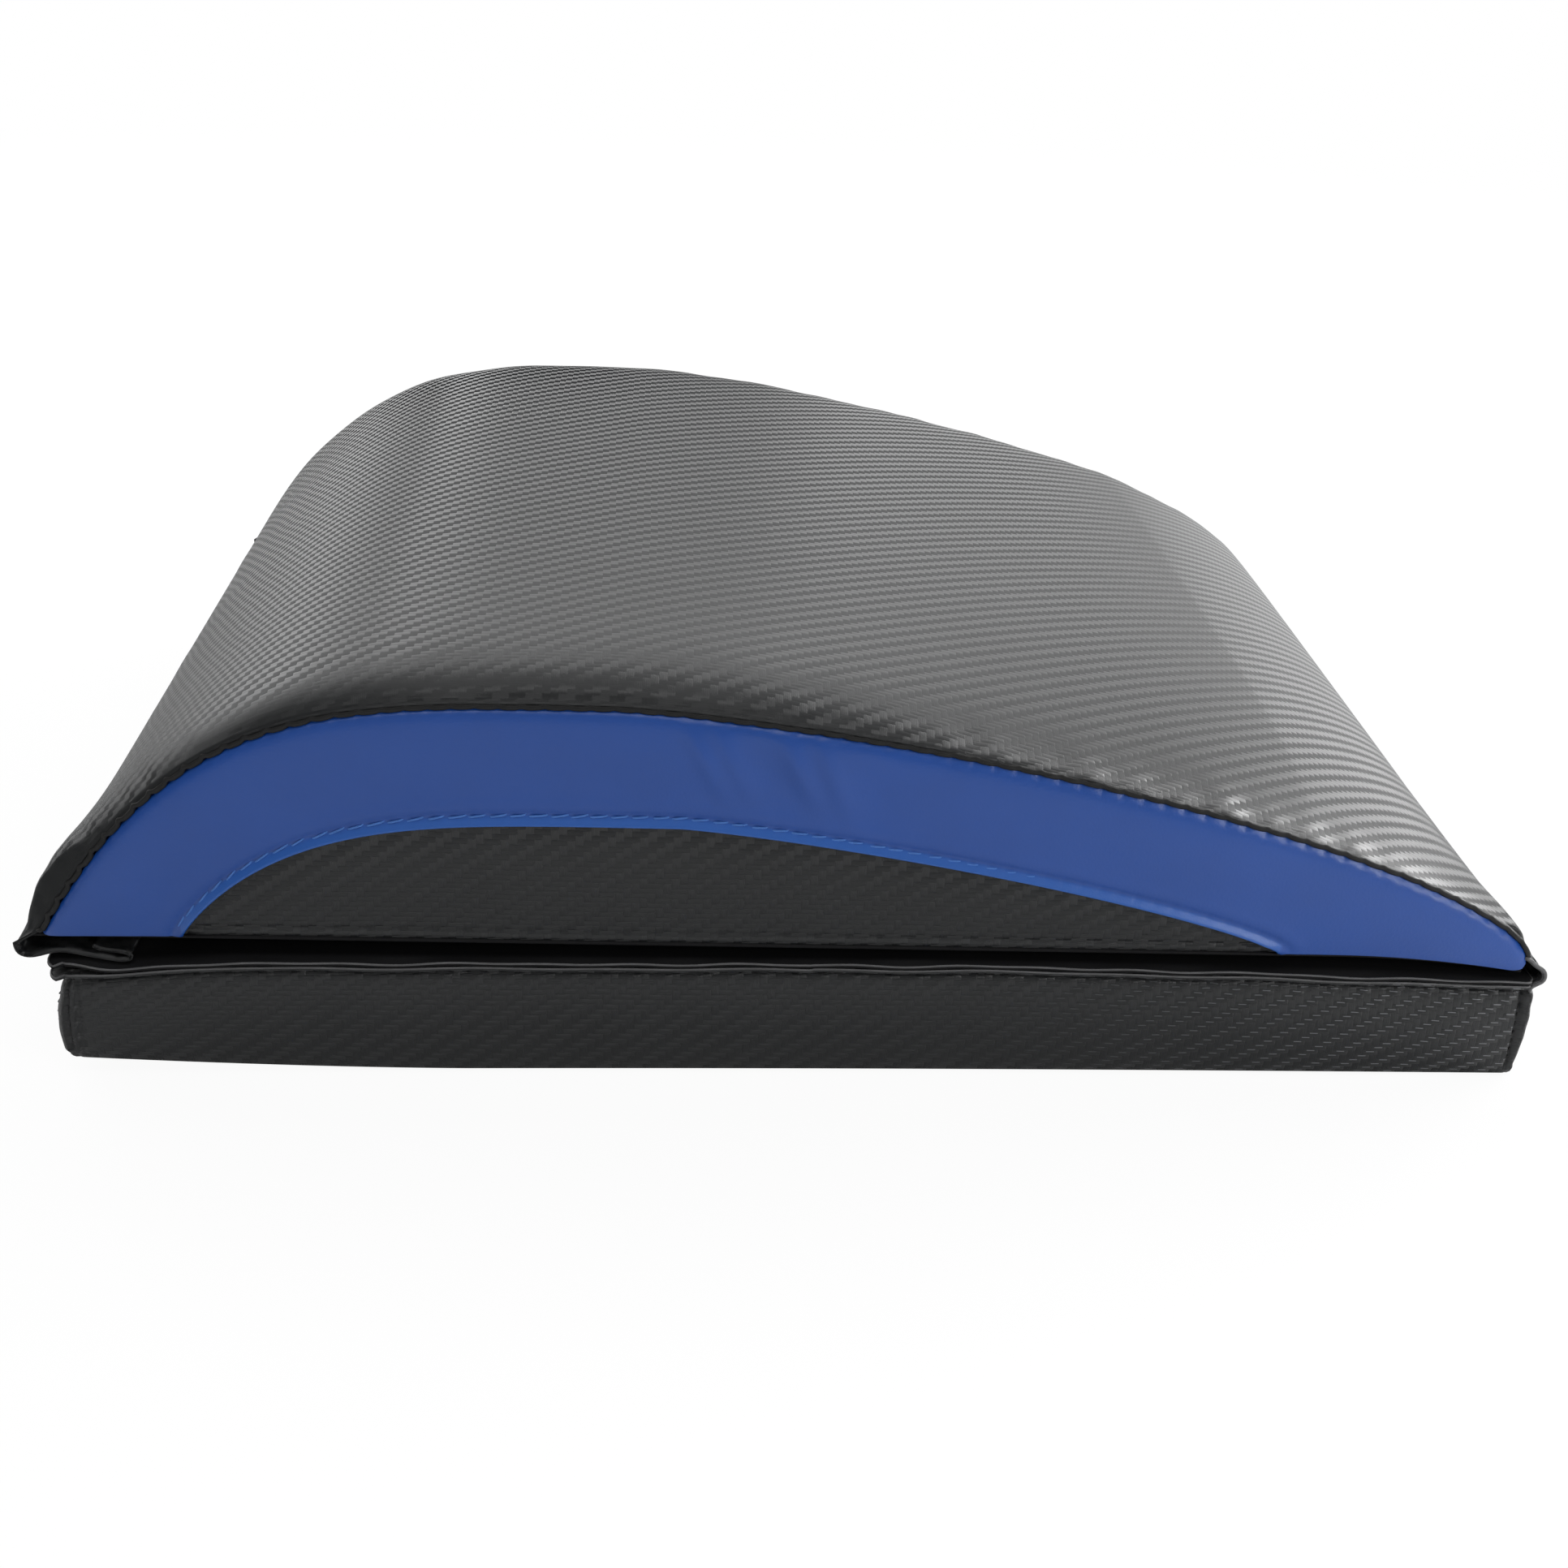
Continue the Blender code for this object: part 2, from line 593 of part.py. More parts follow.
def corner_threads(carried_by, material):
    """The seam down each corner of the shell."""
    step = CORNER_THREAD_RADIUS + 2 * SOFT_GAP
    top = pad_row(1, 1 - 2 * FLANGE_STITCH_DROP / PAD_SEAM_HEIGHT)
    seam = [*tray_rows(PAD_ROLL_RADIUS)[len(FLAT_FACE_SHARES) + 2:-1], top]
    rows = pad_rows([(*row, tuple(out + step for out in steps)) for *row, steps in seam], 0)
    count = rows.shape[1] - 1
    corner = SIDE_CUTS + CORNER_CUTS // 2
    places = {
        "pad_corner_seam_back_right": corner,
        "pad_corner_seam_front_right": count // 2 - corner,
        "pad_corner_seam_front_left": count // 2 + corner,
        "pad_corner_seam_back_left": count - corner,
    }
    for name, column in places.items():
        thread(name, rows[:, column], CORNER_THREAD_RADIUS, carried_by, material)


def flange_thread(carried_by, material):
    """The row of stitches that closes the pad under its flange."""
    step = THREAD_RADIUS + 2 * SOFT_GAP
    level = 1 - FLANGE_STITCH_DROP / PAD_SEAM_HEIGHT
    loop = pad_rows([pad_row(1, level, 0, (step,) * 3)], 0)[0]
    thread("pad_flange_stitches", loop[:-1], THREAD_RADIUS, carried_by, material, cyclic=True)


# Fabric hinge


def strip_path():
    """The strip's middle line in XZ: from the hump's tip, round the loop and down the pad's end."""
    half = STRIP_THICKNESS / 2
    hump_x = SEAM_TIP + SOFT_GAP + half
    top = HUMP_BASE_RISE + SIDE_FLOOR
    knee_x, knee_z = (share * size for share, size in zip(LOOP_KNEE_SHARES, (hump_x, top)))
    out = LOOP_OVERHANG - half
    pad_x = PAD_RIGHT + THIN_END_FLANGE + VINYL / 2 + SOFT_GAP + half
    foot = pad_seam(PAD_RIGHT) + FLANGE_UP + PANEL_LIFT - VINYL
    return np.array([
        [hump_x, top],
        [knee_x, knee_z],
        [out, LOOP_BELLY],
        [out, -LOOP_BELLY],
        [pad_x, foot],
        [pad_x, foot - STRIP_TAIL],
    ])


def hinge_threads(hump, pad, material):
    """The rows that sew the strip to the hump's tip and to the pad's end."""
    path = strip_path()
    half = WIDTH / 2 - SIDE_INSET - 2 * STRIP_SIDE_MARGIN
    out = STRIP_THICKNESS / 2 + THREAD_RADIUS + SOFT_GAP
    rows = {
        "hinge_stitches_hump": (hump, path[:2], HINGE_STITCH_SHARES[0]),
        "hinge_stitches_pad": (pad, path[-2:], HINGE_STITCH_SHARES[1]),
    }
    for name, (carried_by, (start, end), share) in rows.items():
        run = (end - start) / np.linalg.norm(end - start)
        x, z = start + (end - start) * share + np.array([-run[1], run[0]]) * out
        thread(name, [(x, side * half, z) for side in (-1, 0, 1)], THREAD_RADIUS, carried_by, material)


def hinge_strip(carried_by, material):
    """The strip of cover cloth that joins the hump's tip to the pad."""
    path = strip_path()
    half = WIDTH / 2 - SIDE_INSET - STRIP_SIDE_MARGIN
    points = np.zeros((2, len(path), 3))
    points[..., 0] = path[None, :, 0]
    points[..., 1] = np.array([half, -half])[:, None]
    points[..., 2] = path[None, :, 1]
    strip = thicken(add_part("hinge_strip", skin("hinge_strip", points), carried_by, material), STRIP_THICKNESS)
    strip.modifiers["wall"].offset = 0
    return strip


def build():
    clear_scene()
    bpy.context.scene.collection.children.link(bpy.data.collections.new("ab_mat"))
    carbon = finish("black_carbon_vinyl", (0.045, 0.046, 0.048), 0.45)
    blue = finish("royal_blue_vinyl", (0.035, 0.085, 0.30), 0.42)
    plain = finish("black_lining_vinyl", (0.02, 0.02, 0.022), 0.6)
    foam = finish("foam", (0.75, 0.72, 0.62), 0.95)
    blue_thread = finish("blue_thread", (0.05, 0.13, 0.42), 0.6)
    black_thread = finish("black_thread", (0.015, 0.015, 0.016), 0.7)
    tape = finish("fastening_tape", (0.02, 0.02, 0.02), 0.95, 0.4)

    hinge_x = (HUMP_LENGTH + FLAP_OUT + TIP_SETBACK - LOOP_OVERHANG) / 2
    hump = carrier("hump", (hinge_x, 0, HINGE_HEIGHT), math.radians(HUMP_TILT_DEGREES))
    pad = carrier("tailbone_pad", (hinge_x, 0, HINGE_HEIGHT))

    hump_foam_core(hump, foam)
    hump_top_cover(hump, carbon)
    hump_bands(hump, blue)
    hump_inserts(hump, carbon)
    hump_base_panel(hump, plain)
    band_topstitches(hump, blue_thread)
    closure_flap(hump, carbon)
    closure_tapes(hump, tape)
    pad_foam_core(pad, foam)
    pad_shell_cover(pad, carbon)
    pad_base_panel(pad, carbon)
    corner_threads(pad, black_thread)
    flange_thread(pad, black_thread)
    hinge_strip(pad, carbon)
    hinge_threads(hump, pad, black_thread)


build()
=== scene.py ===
"""A folding ab mat in woven-look vinyl with blue side bands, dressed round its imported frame.

Metres, +Z up, +X along the spine towards the thin end. Every cover is a sheet worked out on a grid of two
parameters, and the two halves of the mat meet at the fabric hinge.
"""

import json
import math

import bpy
import numpy as np
from bpy.props import FloatProperty, FloatVectorProperty, PointerProperty
from mathutils import Matrix, Vector


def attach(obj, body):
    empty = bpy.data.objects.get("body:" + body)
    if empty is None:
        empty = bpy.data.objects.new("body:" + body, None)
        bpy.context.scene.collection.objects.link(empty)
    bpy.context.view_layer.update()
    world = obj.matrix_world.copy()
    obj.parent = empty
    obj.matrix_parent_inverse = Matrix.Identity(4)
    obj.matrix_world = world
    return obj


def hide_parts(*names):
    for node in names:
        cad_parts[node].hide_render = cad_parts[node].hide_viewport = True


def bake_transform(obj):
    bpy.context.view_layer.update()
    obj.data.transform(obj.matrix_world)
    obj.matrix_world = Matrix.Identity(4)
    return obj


bl_info = {
    "name": "Folding Ab Mat",
    "version": (1, 0, 0),
    "blender": (4, 5, 0),
    "location": "View3D > Sidebar > Ab Mat",
    "description": "Covers, seams and stitches of a folding ab mat",
    "category": "Add Mesh",
}

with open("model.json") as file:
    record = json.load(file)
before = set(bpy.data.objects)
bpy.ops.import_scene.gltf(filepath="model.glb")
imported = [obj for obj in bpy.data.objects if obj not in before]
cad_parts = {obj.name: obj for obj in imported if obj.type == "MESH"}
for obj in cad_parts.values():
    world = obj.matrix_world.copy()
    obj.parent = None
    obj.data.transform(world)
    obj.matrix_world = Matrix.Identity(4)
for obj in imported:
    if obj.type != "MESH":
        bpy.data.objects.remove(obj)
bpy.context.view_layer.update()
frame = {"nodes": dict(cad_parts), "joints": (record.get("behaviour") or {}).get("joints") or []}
HINGE = Vector(frame["joints"][0]["pos_m"])
TILT = math.radians(0.65)

# Shape of the hump, measured from the hinge's axis
SEAM_POWERS = (3.865, 1.369)
SEAM_ROOTS = (1.0, 0.658)
BAND_POWERS = (4.34, 1.23)
BAND_ROOTS = (0.871, 0.754)
BAND_CORNER_SHARES = (0.12, 0.84)
CROWN_POWER = 14
TIP_FADE = 0.06
FOOT_TURN = 0.012
TIP_ROLL = 0.0019
SIDE_FLOOR = 0.0012
INSERT_LAP = 0.006
INSERT_DEPTH = 0.0011

# The flap's outer face, from the end of its hem to the fold under the steep foot, as x and z from that foot
FLAP_COURSE = (
    (0.0158, -0.0022),
    (0.0178, -0.0034),
    (0.0233, -0.0038),
    (0.0252, -0.0050),
    (0.0236, -0.0063),
    (0.0176, -0.0054),
    (0.0092, -0.0035),
    (0.0060, -0.0036),
    (0.0010, -0.0053),
    (-0.0014, -0.0051),
    (-0.0026, -0.0040),
    (-0.0029, -0.0020),
)

# Soft folds near the middle of a band: place, depth, width and lean
BAND_FOLDS = (
    (-0.2172, 0.0009, 0.0028, 0.5),
    (-0.2108, 0.0007, 0.0026, 0.5),
    (-0.204, -0.0006, 0.0045, 0.5),
    (-0.1954, 0.001, 0.003, 0.45),
    (-0.188, 0.0008, 0.0028, 0.4),
    (-0.179, -0.0005, 0.005, 0.3),
)

# The hinge loop's outer face, from the hump's tip to the pad's end, as x and z from the axis
LOOP_COURSE = (
    (-0.0046, 0.0060),
    (-0.0030, 0.0055),
    (-0.0010, 0.0036),
    (0.0011, 0.0024),
    (0.0023, 0.0008),
    (0.0021, -0.0012),
    (0.0002, -0.0023),
    (-0.0012, -0.0032),
    (-0.0016, -0.0082),
)


def metres(name, description, default):
    """A length that a user can change."""
    return FloatProperty(name=name, description=description, default=default, unit="LENGTH")


def colour(name, description, default):
    """A colour that a user can change."""
    return FloatVectorProperty(name=name, description=description, default=default, subtype="COLOR")


class HumpSizes(bpy.types.PropertyGroup):
    """Sizes of the crescent hump."""

    width: metres("Width", "Across both side faces", 0.305)
    length: metres("Length", "From the steep foot to the tip", 0.3811)
    base_rise: metres("Base rise", "Base over the hinge", 0.0045)
    tip_setback: metres("Tip setback", "Tip to hinge", 0.0042)
    seam_rise: metres("Seam rise", "Top seam over the base", 0.0638)
    seam_right: metres("Long slope", "Apex to tip", 0.236)
    end_bulge: metres("End bulge", "Swell of the steep end", 0.0045)
    crown: metres("Crown", "Top over its side seams", 0.009)
    droop: metres("Tip droop", "Tip's base under the base", 0.0039)
    droop_length: metres("Droop length", "Length that droops", 0.05)
    side_inset: metres("Side inset", "Side seams inwards", 0.0015)
    side_bulge: metres("Side bulge", "Swell of the side faces", 0.0016)
    band_depth: metres("Band depth", "Band at its apex", 0.0297)
    band_shift: metres("Band shift", "Arc's apex to the thin end", 0.0154)
    steep_margin: metres("Steep margin", "Insert to steep foot", 0.0338)
    tip_margin: metres("Tip margin", "Insert to tip", 0.0656)
    topstitch: metres("Topstitch", "Row over the band's edge", 0.0026)
    vinyl: metres("Vinyl", "Thickness of the covers", 0.0007)


class PadSizes(bpy.types.PropertyGroup):
    """Sizes of the flat tailbone pad."""

    length: metres("Length", "Between its end seams", 0.3747)
    width: metres("Width", "Between its side seams", 0.3026)
    setback: metres("Setback", "Thin end to hinge", 0.0019)
    seam_height: metres("Seam height", "Seam over the floor", 0.0311)
    corner_radius: metres("Corner radius", "In plan", 0.0015)
    roll_radius: metres("Roll radius", "Of the lower edges", 0.0026)
    draw_in: metres("Draw in", "Middle of the long sides", 0.0012)
    heel_lean: metres("Heel lean", "Heel's foot outwards", 0.0014)
    heel_lift: metres("Heel lift", "Heel off the floor", 0.0038)
    heel_lift_length: metres("Heel lift length", "Length that lifts", 0.1)
    heel_drop: metres("Heel drop", "Seam at the heel", 0.0031)
    heel_drop_length: metres("Heel drop length", "Length it takes", 0.045)
    thin_drop: metres("Thin end drop", "Seam at the thin end", 0.0035)
    thin_drop_length: metres("Thin drop length", "Length it takes", 0.152)
    crown: metres("Crown", "Middle of the panel over its edge", 0.0007)
    flange: metres("Flange", "Width of the seam flange", 0.0017)


class SewingSizes(bpy.types.PropertyGroup):
    """Threads and stitches."""

    thread: metres("Thread", "Radius of the thread", 0.0004)
    top_pitch: metres("Topstitch pitch", "One stitch and its gap", 0.0049)
    seam_pitch: metres("Seam pitch", "Stitches of the top seam", 0.0055)
    flange_pitch: metres("Flange pitch", "Stitches of the flange", 0.0043)
    corner_pitch: metres("Corner pitch", "Rungs of a corner seam", 0.0026)


class Finishes(bpy.types.PropertyGroup):
    """Colours of the vinyls and threads, and the cell of the embossed weave."""

    black: colour("Black vinyl", "Woven-look vinyl", (0.013, 0.0138, 0.0145))
    blue: colour("Blue vinyl", "Side bands", (0.0046, 0.0515, 0.262))
    lining: colour("Lining", "Base of the hump", (0.006, 0.006, 0.0065))
    blue_thread: colour("Blue thread", "Topstitches", (0.075, 0.2, 0.57))
    black_thread: colour("Black thread", "Other rows", (0.006, 0.006, 0.0065))
    cell_along: metres("Weave cell length", "Along the spine", 0.002)
    cell_across: metres("Weave cell width", "Across the mat", 0.001455)
    emboss: metres("Emboss", "Depth of the weave", 0.00008)


# Curves


def rounded(points, times=3):
    """Corner cutting: each pass puts points at a quarter and three quarters of every edge, and keeps the
    ends."""
    points = np.asarray(points, float)
    for _ in range(times):
        near = 0.75 * points[:-1] + 0.25 * points[1:]
        far = 0.25 * points[:-1] + 0.75 * points[1:]
        middle = np.stack([near, far], axis=1).reshape(-1, points.shape[1])
        points = np.concatenate([points[:1], middle, points[-1:]])
    return points


def run_of(points):
    """Length along a polyline up to each of its points."""
    steps = np.linalg.norm(np.diff(points, axis=0), axis=1)
    return np.concatenate([[0], np.cumsum(steps)])


def along(points, places):
    """Points of a polyline at these lengths along it."""
    run = run_of(points)
    return np.stack([np.interp(places, run, points[:, k]) for k in range(points.shape[1])], axis=-1)


def spaced(points, count):
    """A polyline sampled again at even steps."""
    return along(points, np.linspace(0, run_of(points)[-1], count))


def left_of(points):
    """Unit normals on the left of an XZ polyline."""
    run = np.gradient(points, axis=0)
    normal = np.stack([-run[:, 1], run[:, 0]], axis=1)
    return unit(normal)


def unit(vectors):
    """The vectors at a length of one."""
    return vectors / np.linalg.norm(vectors, axis=-1, keepdims=True)


def smooth(share):
    """0 below 0, 1 above 1 and a smooth step between them."""
    share = np.clip(share, 0, 1)
    return share * share * (3 - 2 * share)


def bell(distance, width):
    """1 at zero, falling as exp(-(distance / width) ** 2)."""
    return np.exp(-((distance / width) ** 2))


def waves(place, lengths, turns):
    """A sum of sines with these wavelengths and starting turns, scaled to stay within 1."""
    return sum(np.sin(2 * np.pi * (place / size + turn)) for size, turn in zip(lengths, turns)) / len(lengths)


def stitch_pull(run, pitch):
    """1 at each stitch of a row and 0 halfway between two, as a cosine of the length along it."""
    return 0.5 + 0.5 * np.cos(2 * np.pi * run / pitch)


def nearest(points, curve):
    """Distance from each point of a grid to an evenly spaced polyline, and how far along it that is."""
    parts = np.array_split(points.reshape(-1, 2), 40)
    found = [np.linalg.norm(part[:, None] - curve[None], axis=2) for part in parts]
    index = np.concatenate([part.argmin(axis=1) for part in found])
    distance = np.concatenate([part.min(axis=1) for part in found])
    run = index * run_of(curve)[-1] / (len(curve) - 1)
    return distance.reshape(points.shape[:-1]), run.reshape(points.shape[:-1])


def paired(u, v):
    """A grid's UV from its lengths down the rows and across the columns."""
    return np.stack(np.broadcast_arrays(u, v), axis=-1)


def tucked(row, inwards, up):
    """Rows that go on beyond the end row of a grid, each moved inwards and up by its own steps."""
    rows = np.repeat(row[None], len(inwards), axis=0)
    rows[..., 1] += np.array(inwards)[:, None]
    rows[..., 2] += np.array(up)[:, None]
    return rows


def both_sides(points):
    """A side's grid for the front, and its mirror image for the back, each with the way that it faces."""
    return ("front", points, (0, -1, 0)), ("back", points * (1, -1, 1), (0, 1, 0))


# Meshes


def quads(index):
    """The corners of each cell, in order round it, of a grid of indices over the last two axes."""
    corners = (index[..., :-1, :-1], index[..., :-1, 1:], index[..., 1:, 1:], index[..., 1:, :-1])
    return np.stack(corners, axis=-1).reshape(-1, 4)


def face_normals(points, faces):
    """The cross product of each face's two diagonals."""
    first, second, third, fourth = (points[faces[:, k]] for k in range(4))
    return np.cross(third - first, fourth - second)


def fan(row, middle):
    """Triangles from each pair of neighbours in a row of indices to the index in their middle."""
    return np.stack([row[1:], row[:-1], np.full(len(row) - 1, middle)], axis=1)


def sheet(name, points, uv, facing=None, wrap=False, pole=False, marks=None):
    """A mesh of quads over a grid of points, with its UV in metres. facing is the side that its faces turn
    to, and without it they turn away from the middle of the points. wrap joins the last column to the
    first, and pole closes the first row with a fan round its middle. marks are values that a material reads
    at each point."""
    index = np.arange(points.shape[0] * points.shape[1]).reshape(points.shape[:2])
    if wrap:
        index = np.concatenate([index, index[:, :1]], axis=1)
    spread = np.arange(uv.shape[0] * uv.shape[1]).reshape(uv.shape[:2])
    flat, spots = points.reshape(-1, 3), uv.reshape(-1, 2)
    faces, places = quads(index), quads(spread)
    towards = flat[faces].mean(axis=1) - flat.mean(axis=0) if facing is None else np.array(facing)
    way = -1 if (face_normals(flat, faces) * towards).sum() < 0 else 1
    faces, places = faces[:, ::way], places[:, ::way]
    polygons, loops = faces.tolist(), places.ravel()
    if pole:
        closing, around = fan(index[0], len(flat))[:, ::way], fan(spread[0], len(spots))[:, ::way]
        flat = np.concatenate([flat, points[:1].mean(axis=1)])
        spots = np.concatenate([spots, uv[:1, :-1].mean(axis=1)])
        polygons, loops = polygons + closing.tolist(), np.concatenate([loops, around.ravel()])
    mesh = bpy.data.meshes.new(name)
    mesh.from_pydata(flat.tolist(), [], polygons)
    layer = mesh.uv_layers.new(name="weave")
    layer.data.foreach_set("uv", spots[loops].astype(np.float32).ravel())
    for key, values in (marks or {}).items():
        values = np.append(values.ravel(), [0] * pole).astype(np.float32)
        mesh.attributes.new(key, "FLOAT", "POINT").data.foreach_set("value", values)
    mesh.shade_smooth()
    return mesh


def piece(mesh, body, material, thickness=0.0, nodes=(), rim=None):
    """One finished piece, named as its mesh, which rides on a body and stands for these CAD nodes. rim is
    the material of its cut edges."""
    obj = bpy.data.objects.new(mesh.name, mesh)
    bpy.context.scene.collection.objects.link(obj)
    mesh.materials.append(material)
    if thickness:
        wall = obj.modifiers.new("wall", "SOLIDIFY")
        wall.thickness = thickness
        wall.offset = -1
        if rim:
            mesh.materials.append(rim)
            wall.material_offset_rim = 1
    if body:
        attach(obj, body)
    if nodes:
        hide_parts(*nodes)
    return obj


def sewn_row(name, path, normal, pitch, fill, radius, slant=0.0, arch=1.0, seed=1):
    """A row of stitches, each over a share of its pitch, its fill. Each is a bent tube: its middle follows
    the path, stands off the sheet as arch * (1 - t ** 4) - 0.9 radii and crosses it by slant * t, with t
    from -1 to 1 along the stitch."""
    jitter = np.random.default_rng(seed)
    run = run_of(path)
    count = int(run[-1] // pitch)
    start = (run[-1] - count * pitch) / 2
    centre = start + (np.arange(count) + 0.5) * pitch + jitter.normal(0, 0.04, count) * pitch
    t = np.linspace(-1, 1, 9)
    place = centre[:, None] + pitch * fill / 2 * t[None] * (1 + jitter.normal(0, 0.05, count))[:, None]
    line = along(path, place)
    up = unit(along(np.concatenate([path, normal], axis=1), place)[..., 3:])
    tangent = unit(np.gradient(line, axis=1))
    aside = unit(np.cross(tangent, up))
    rise = radius * (arch * (1 - t**4) - 0.9)
    tilt = slant * t[None] * (1 + jitter.normal(0, 0.25, count))[:, None]
    line = line + up * rise[None, :, None] + aside * tilt[..., None]
    turn = np.linspace(0, 2 * np.pi, 6, endpoint=False)
    thick = radius * (1 - 0.35 * t**6)
    ring = np.cos(turn)[:, None] * up[:, :, None] + np.sin(turn)[:, None] * aside[:, :, None]
    points = line[:, :, None] + ring * thick[None, :, None, None]
    index = np.arange(math.prod(points.shape[:3])).reshape(points.shape[:3])
    faces = quads(np.concatenate([index, index[:, :, :1]], axis=2))
    caps = np.concatenate([index[:, 0, ::-1], index[:, -1]])
    flat = points.reshape(-1, 3)
    mesh = bpy.data.meshes.new(name)
    mesh.from_pydata(flat.tolist(), [], faces.tolist() + caps.tolist())
    outward = flat[faces].mean(axis=1) - np.repeat(line[:, :-1].reshape(-1, 3), len(turn), axis=0)
    if (face_normals(flat, faces) * outward).sum() < 0:
        mesh.flip_normals()
    mesh.shade_smooth()
    return mesh


# Materials


class Graph:
    """A node tree, built from sums of its sockets."""

    def __init__(self, tree):
        self.tree = tree

    def feed(self, socket, value):
        """Links a socket to an input, or sets a plain value there, to which a colour adds its alpha."""
        if isinstance(value, bpy.types.NodeSocket):
            self.tree.links.new(value, socket)
        else:
            socket.default_value = (*value, 1) if socket.type == "RGBA" else value

    def node(self, kind, **inputs):
        """A new node with its inputs fed by name."""
        made = self.tree.nodes.new(kind)
        for key, value in inputs.items():
            self.feed(made.inputs[key.replace("_", " ")], value)
        return made

    def make(self, kind, values=(), **settings):
        """A new node with these settings, and its inputs fed by number."""
        made = self.tree.nodes.new(kind)
        for key, value in settings.items():
            setattr(made, key, value)
        for key, value in dict(values).items():
            self.feed(made.inputs[key], value)
        return made

    def math(self, operation, *values):
        """One step of a sum, on sockets or numbers."""
        return self.make("ShaderNodeMath", enumerate(values), operation=operation).outputs[0]

    def mix(self, share, first, second):
        """first where share is 0, second where it is 1."""
        return self.make("ShaderNodeMix", {0: share, 2: first, 3: second}).outputs[0]

    def tint(self, share, first, second):
        """A colour between two, each a plain colour or a socket."""
        return self.make("ShaderNodeMix", {0: share, 6: first, 7: second}, data_type="RGBA").outputs[2]

    def shaders(self, share, first, second):
        """The first node's shader where share is 0, the second's where it is 1."""
        values = {0: share, 1: first.outputs[0], 2: second.outputs[0]}
        return self.make("ShaderNodeMixShader", values).outputs[0]

    def place(self):
        """A point in the piece's own coordinates."""
        return self.node("ShaderNodeTexCoord").outputs["Object"]


class Recipe(Graph):
    """The node tree of one piece's material."""

    def __init__(self, name):
        self.material = bpy.data.materials.new(name)
        self.material.use_nodes = True
        super().__init__(self.material.node_tree)
        self.shader = self.tree.nodes["Principled BSDF"]

    def mark(self, name):
        """A value that the mesh holds at each point."""
        return self.make("ShaderNodeAttribute", attribute_name=name).outputs["Fac"]

    def noise(self, size, detail=3.0, roughness=0.5):
        """Noise whose lumps are about this many metres across, from 0 to 1."""
        made = self.node("ShaderNodeTexNoise", Vector=self.place(), Scale=1 / size, Detail=detail,
                         Roughness=roughness)
        return made.outputs["Fac"]

    def cells(self, scale):
        """Distance to the middle of the nearest cell, with about this many cells to the metre."""
        return self.node("ShaderNodeTexVoronoi", Vector=self.place(), Scale=scale).outputs["Distance"]

    def arch(self, share):
        """0 at both ends of a share and 1 in its middle: 4 * share * (1 - share)."""
        return self.math("MULTIPLY", self.math("MULTIPLY", share, self.math("SUBTRACT", 1.0, share)), 4.0)

    def bump(self, height, distance, normal=None):
        """A normal bent by a height, over another normal if there is one."""
        made = self.node("ShaderNodeBump", Strength=1.0, Distance=distance, Height=height)
        if normal is not None:
            self.feed(made.inputs["Normal"], normal)
        return made.outputs["Normal"]

    def finish(self, **values):
        """Feeds the shader's inputs by name and gives the material."""
        for key, value in values.items():
            self.feed(self.shader.inputs[key.replace("_", " ")], value)
        return self.material


def shades(colour, *factors):
    """The same colour darker and lighter by these factors, each part at 1 at most."""
    return [[min(1, part * factor) for part in colour] for factor in factors]


def once(make):
    """Each material is built the first time that a piece asks for it."""
    made = {}

    def ask(look):
        if make.__name__ not in made:
            made[make.__name__] = make(look)
        return made[make.__name__]

    return ask


def weave(recipe, look):
    """A two by two twill on the piece's own UV. A float lies over two cells, and each row of cells steps on
    by one, so s = (column - row) mod 4 is below 2 on floats along U and above on floats along V. Gives the
    float's kind, its height, its fibres and the crest on which a highlight is painted."""
    uv = recipe.make("ShaderNodeUVMap", uv_map="weave")
    split = recipe.node("ShaderNodeSeparateXYZ", Vector=uv.outputs["UV"])
    sway = recipe.math("MULTIPLY", recipe.math("SUBTRACT", recipe.noise(0.035, 1.0), 0.5), 0.0016)
    u = recipe.math("DIVIDE", recipe.math("ADD", split.outputs["X"], sway), look.cell_along)
    v = recipe.math("DIVIDE", recipe.math("ADD", split.outputs["Y"], sway), look.cell_across)
    in_u, in_v = recipe.math("FRACT", u), recipe.math("FRACT", v)
    step = recipe.math("SUBTRACT", recipe.math("FLOOR", u), recipe.math("FLOOR", v))
    step = recipe.math("FLOORED_MODULO", step, 4.0)
    lies_along = recipe.math("LESS_THAN", step, 1.5)
    length_u = recipe.math("MULTIPLY", recipe.math("ADD", step, in_u), 0.5)
    length_v = recipe.math("MULTIPLY", recipe.math("ADD", recipe.math("SUBTRACT", 3.0, step), in_v), 0.5)
    length = recipe.mix(lies_along, length_v, length_u)
    across = recipe.mix(lies_along, in_u, in_v)
    round_across = recipe.math("POWER", recipe.arch(across), 0.6)
    pillow = recipe.math("MULTIPLY", round_across, recipe.math("POWER", recipe.arch(length), 0.35))
    fibres = recipe.math("SINE", recipe.math("MULTIPLY", across, 8 * math.pi))
    near_top = recipe.math("COMPARE", across, 0.74, 0.1)
    mid_length = recipe.math("COMPARE", length, 0.5, 0.26)
    crest = recipe.math("MULTIPLY", near_top, mid_length)
    return lies_along, pillow, fibres, crest


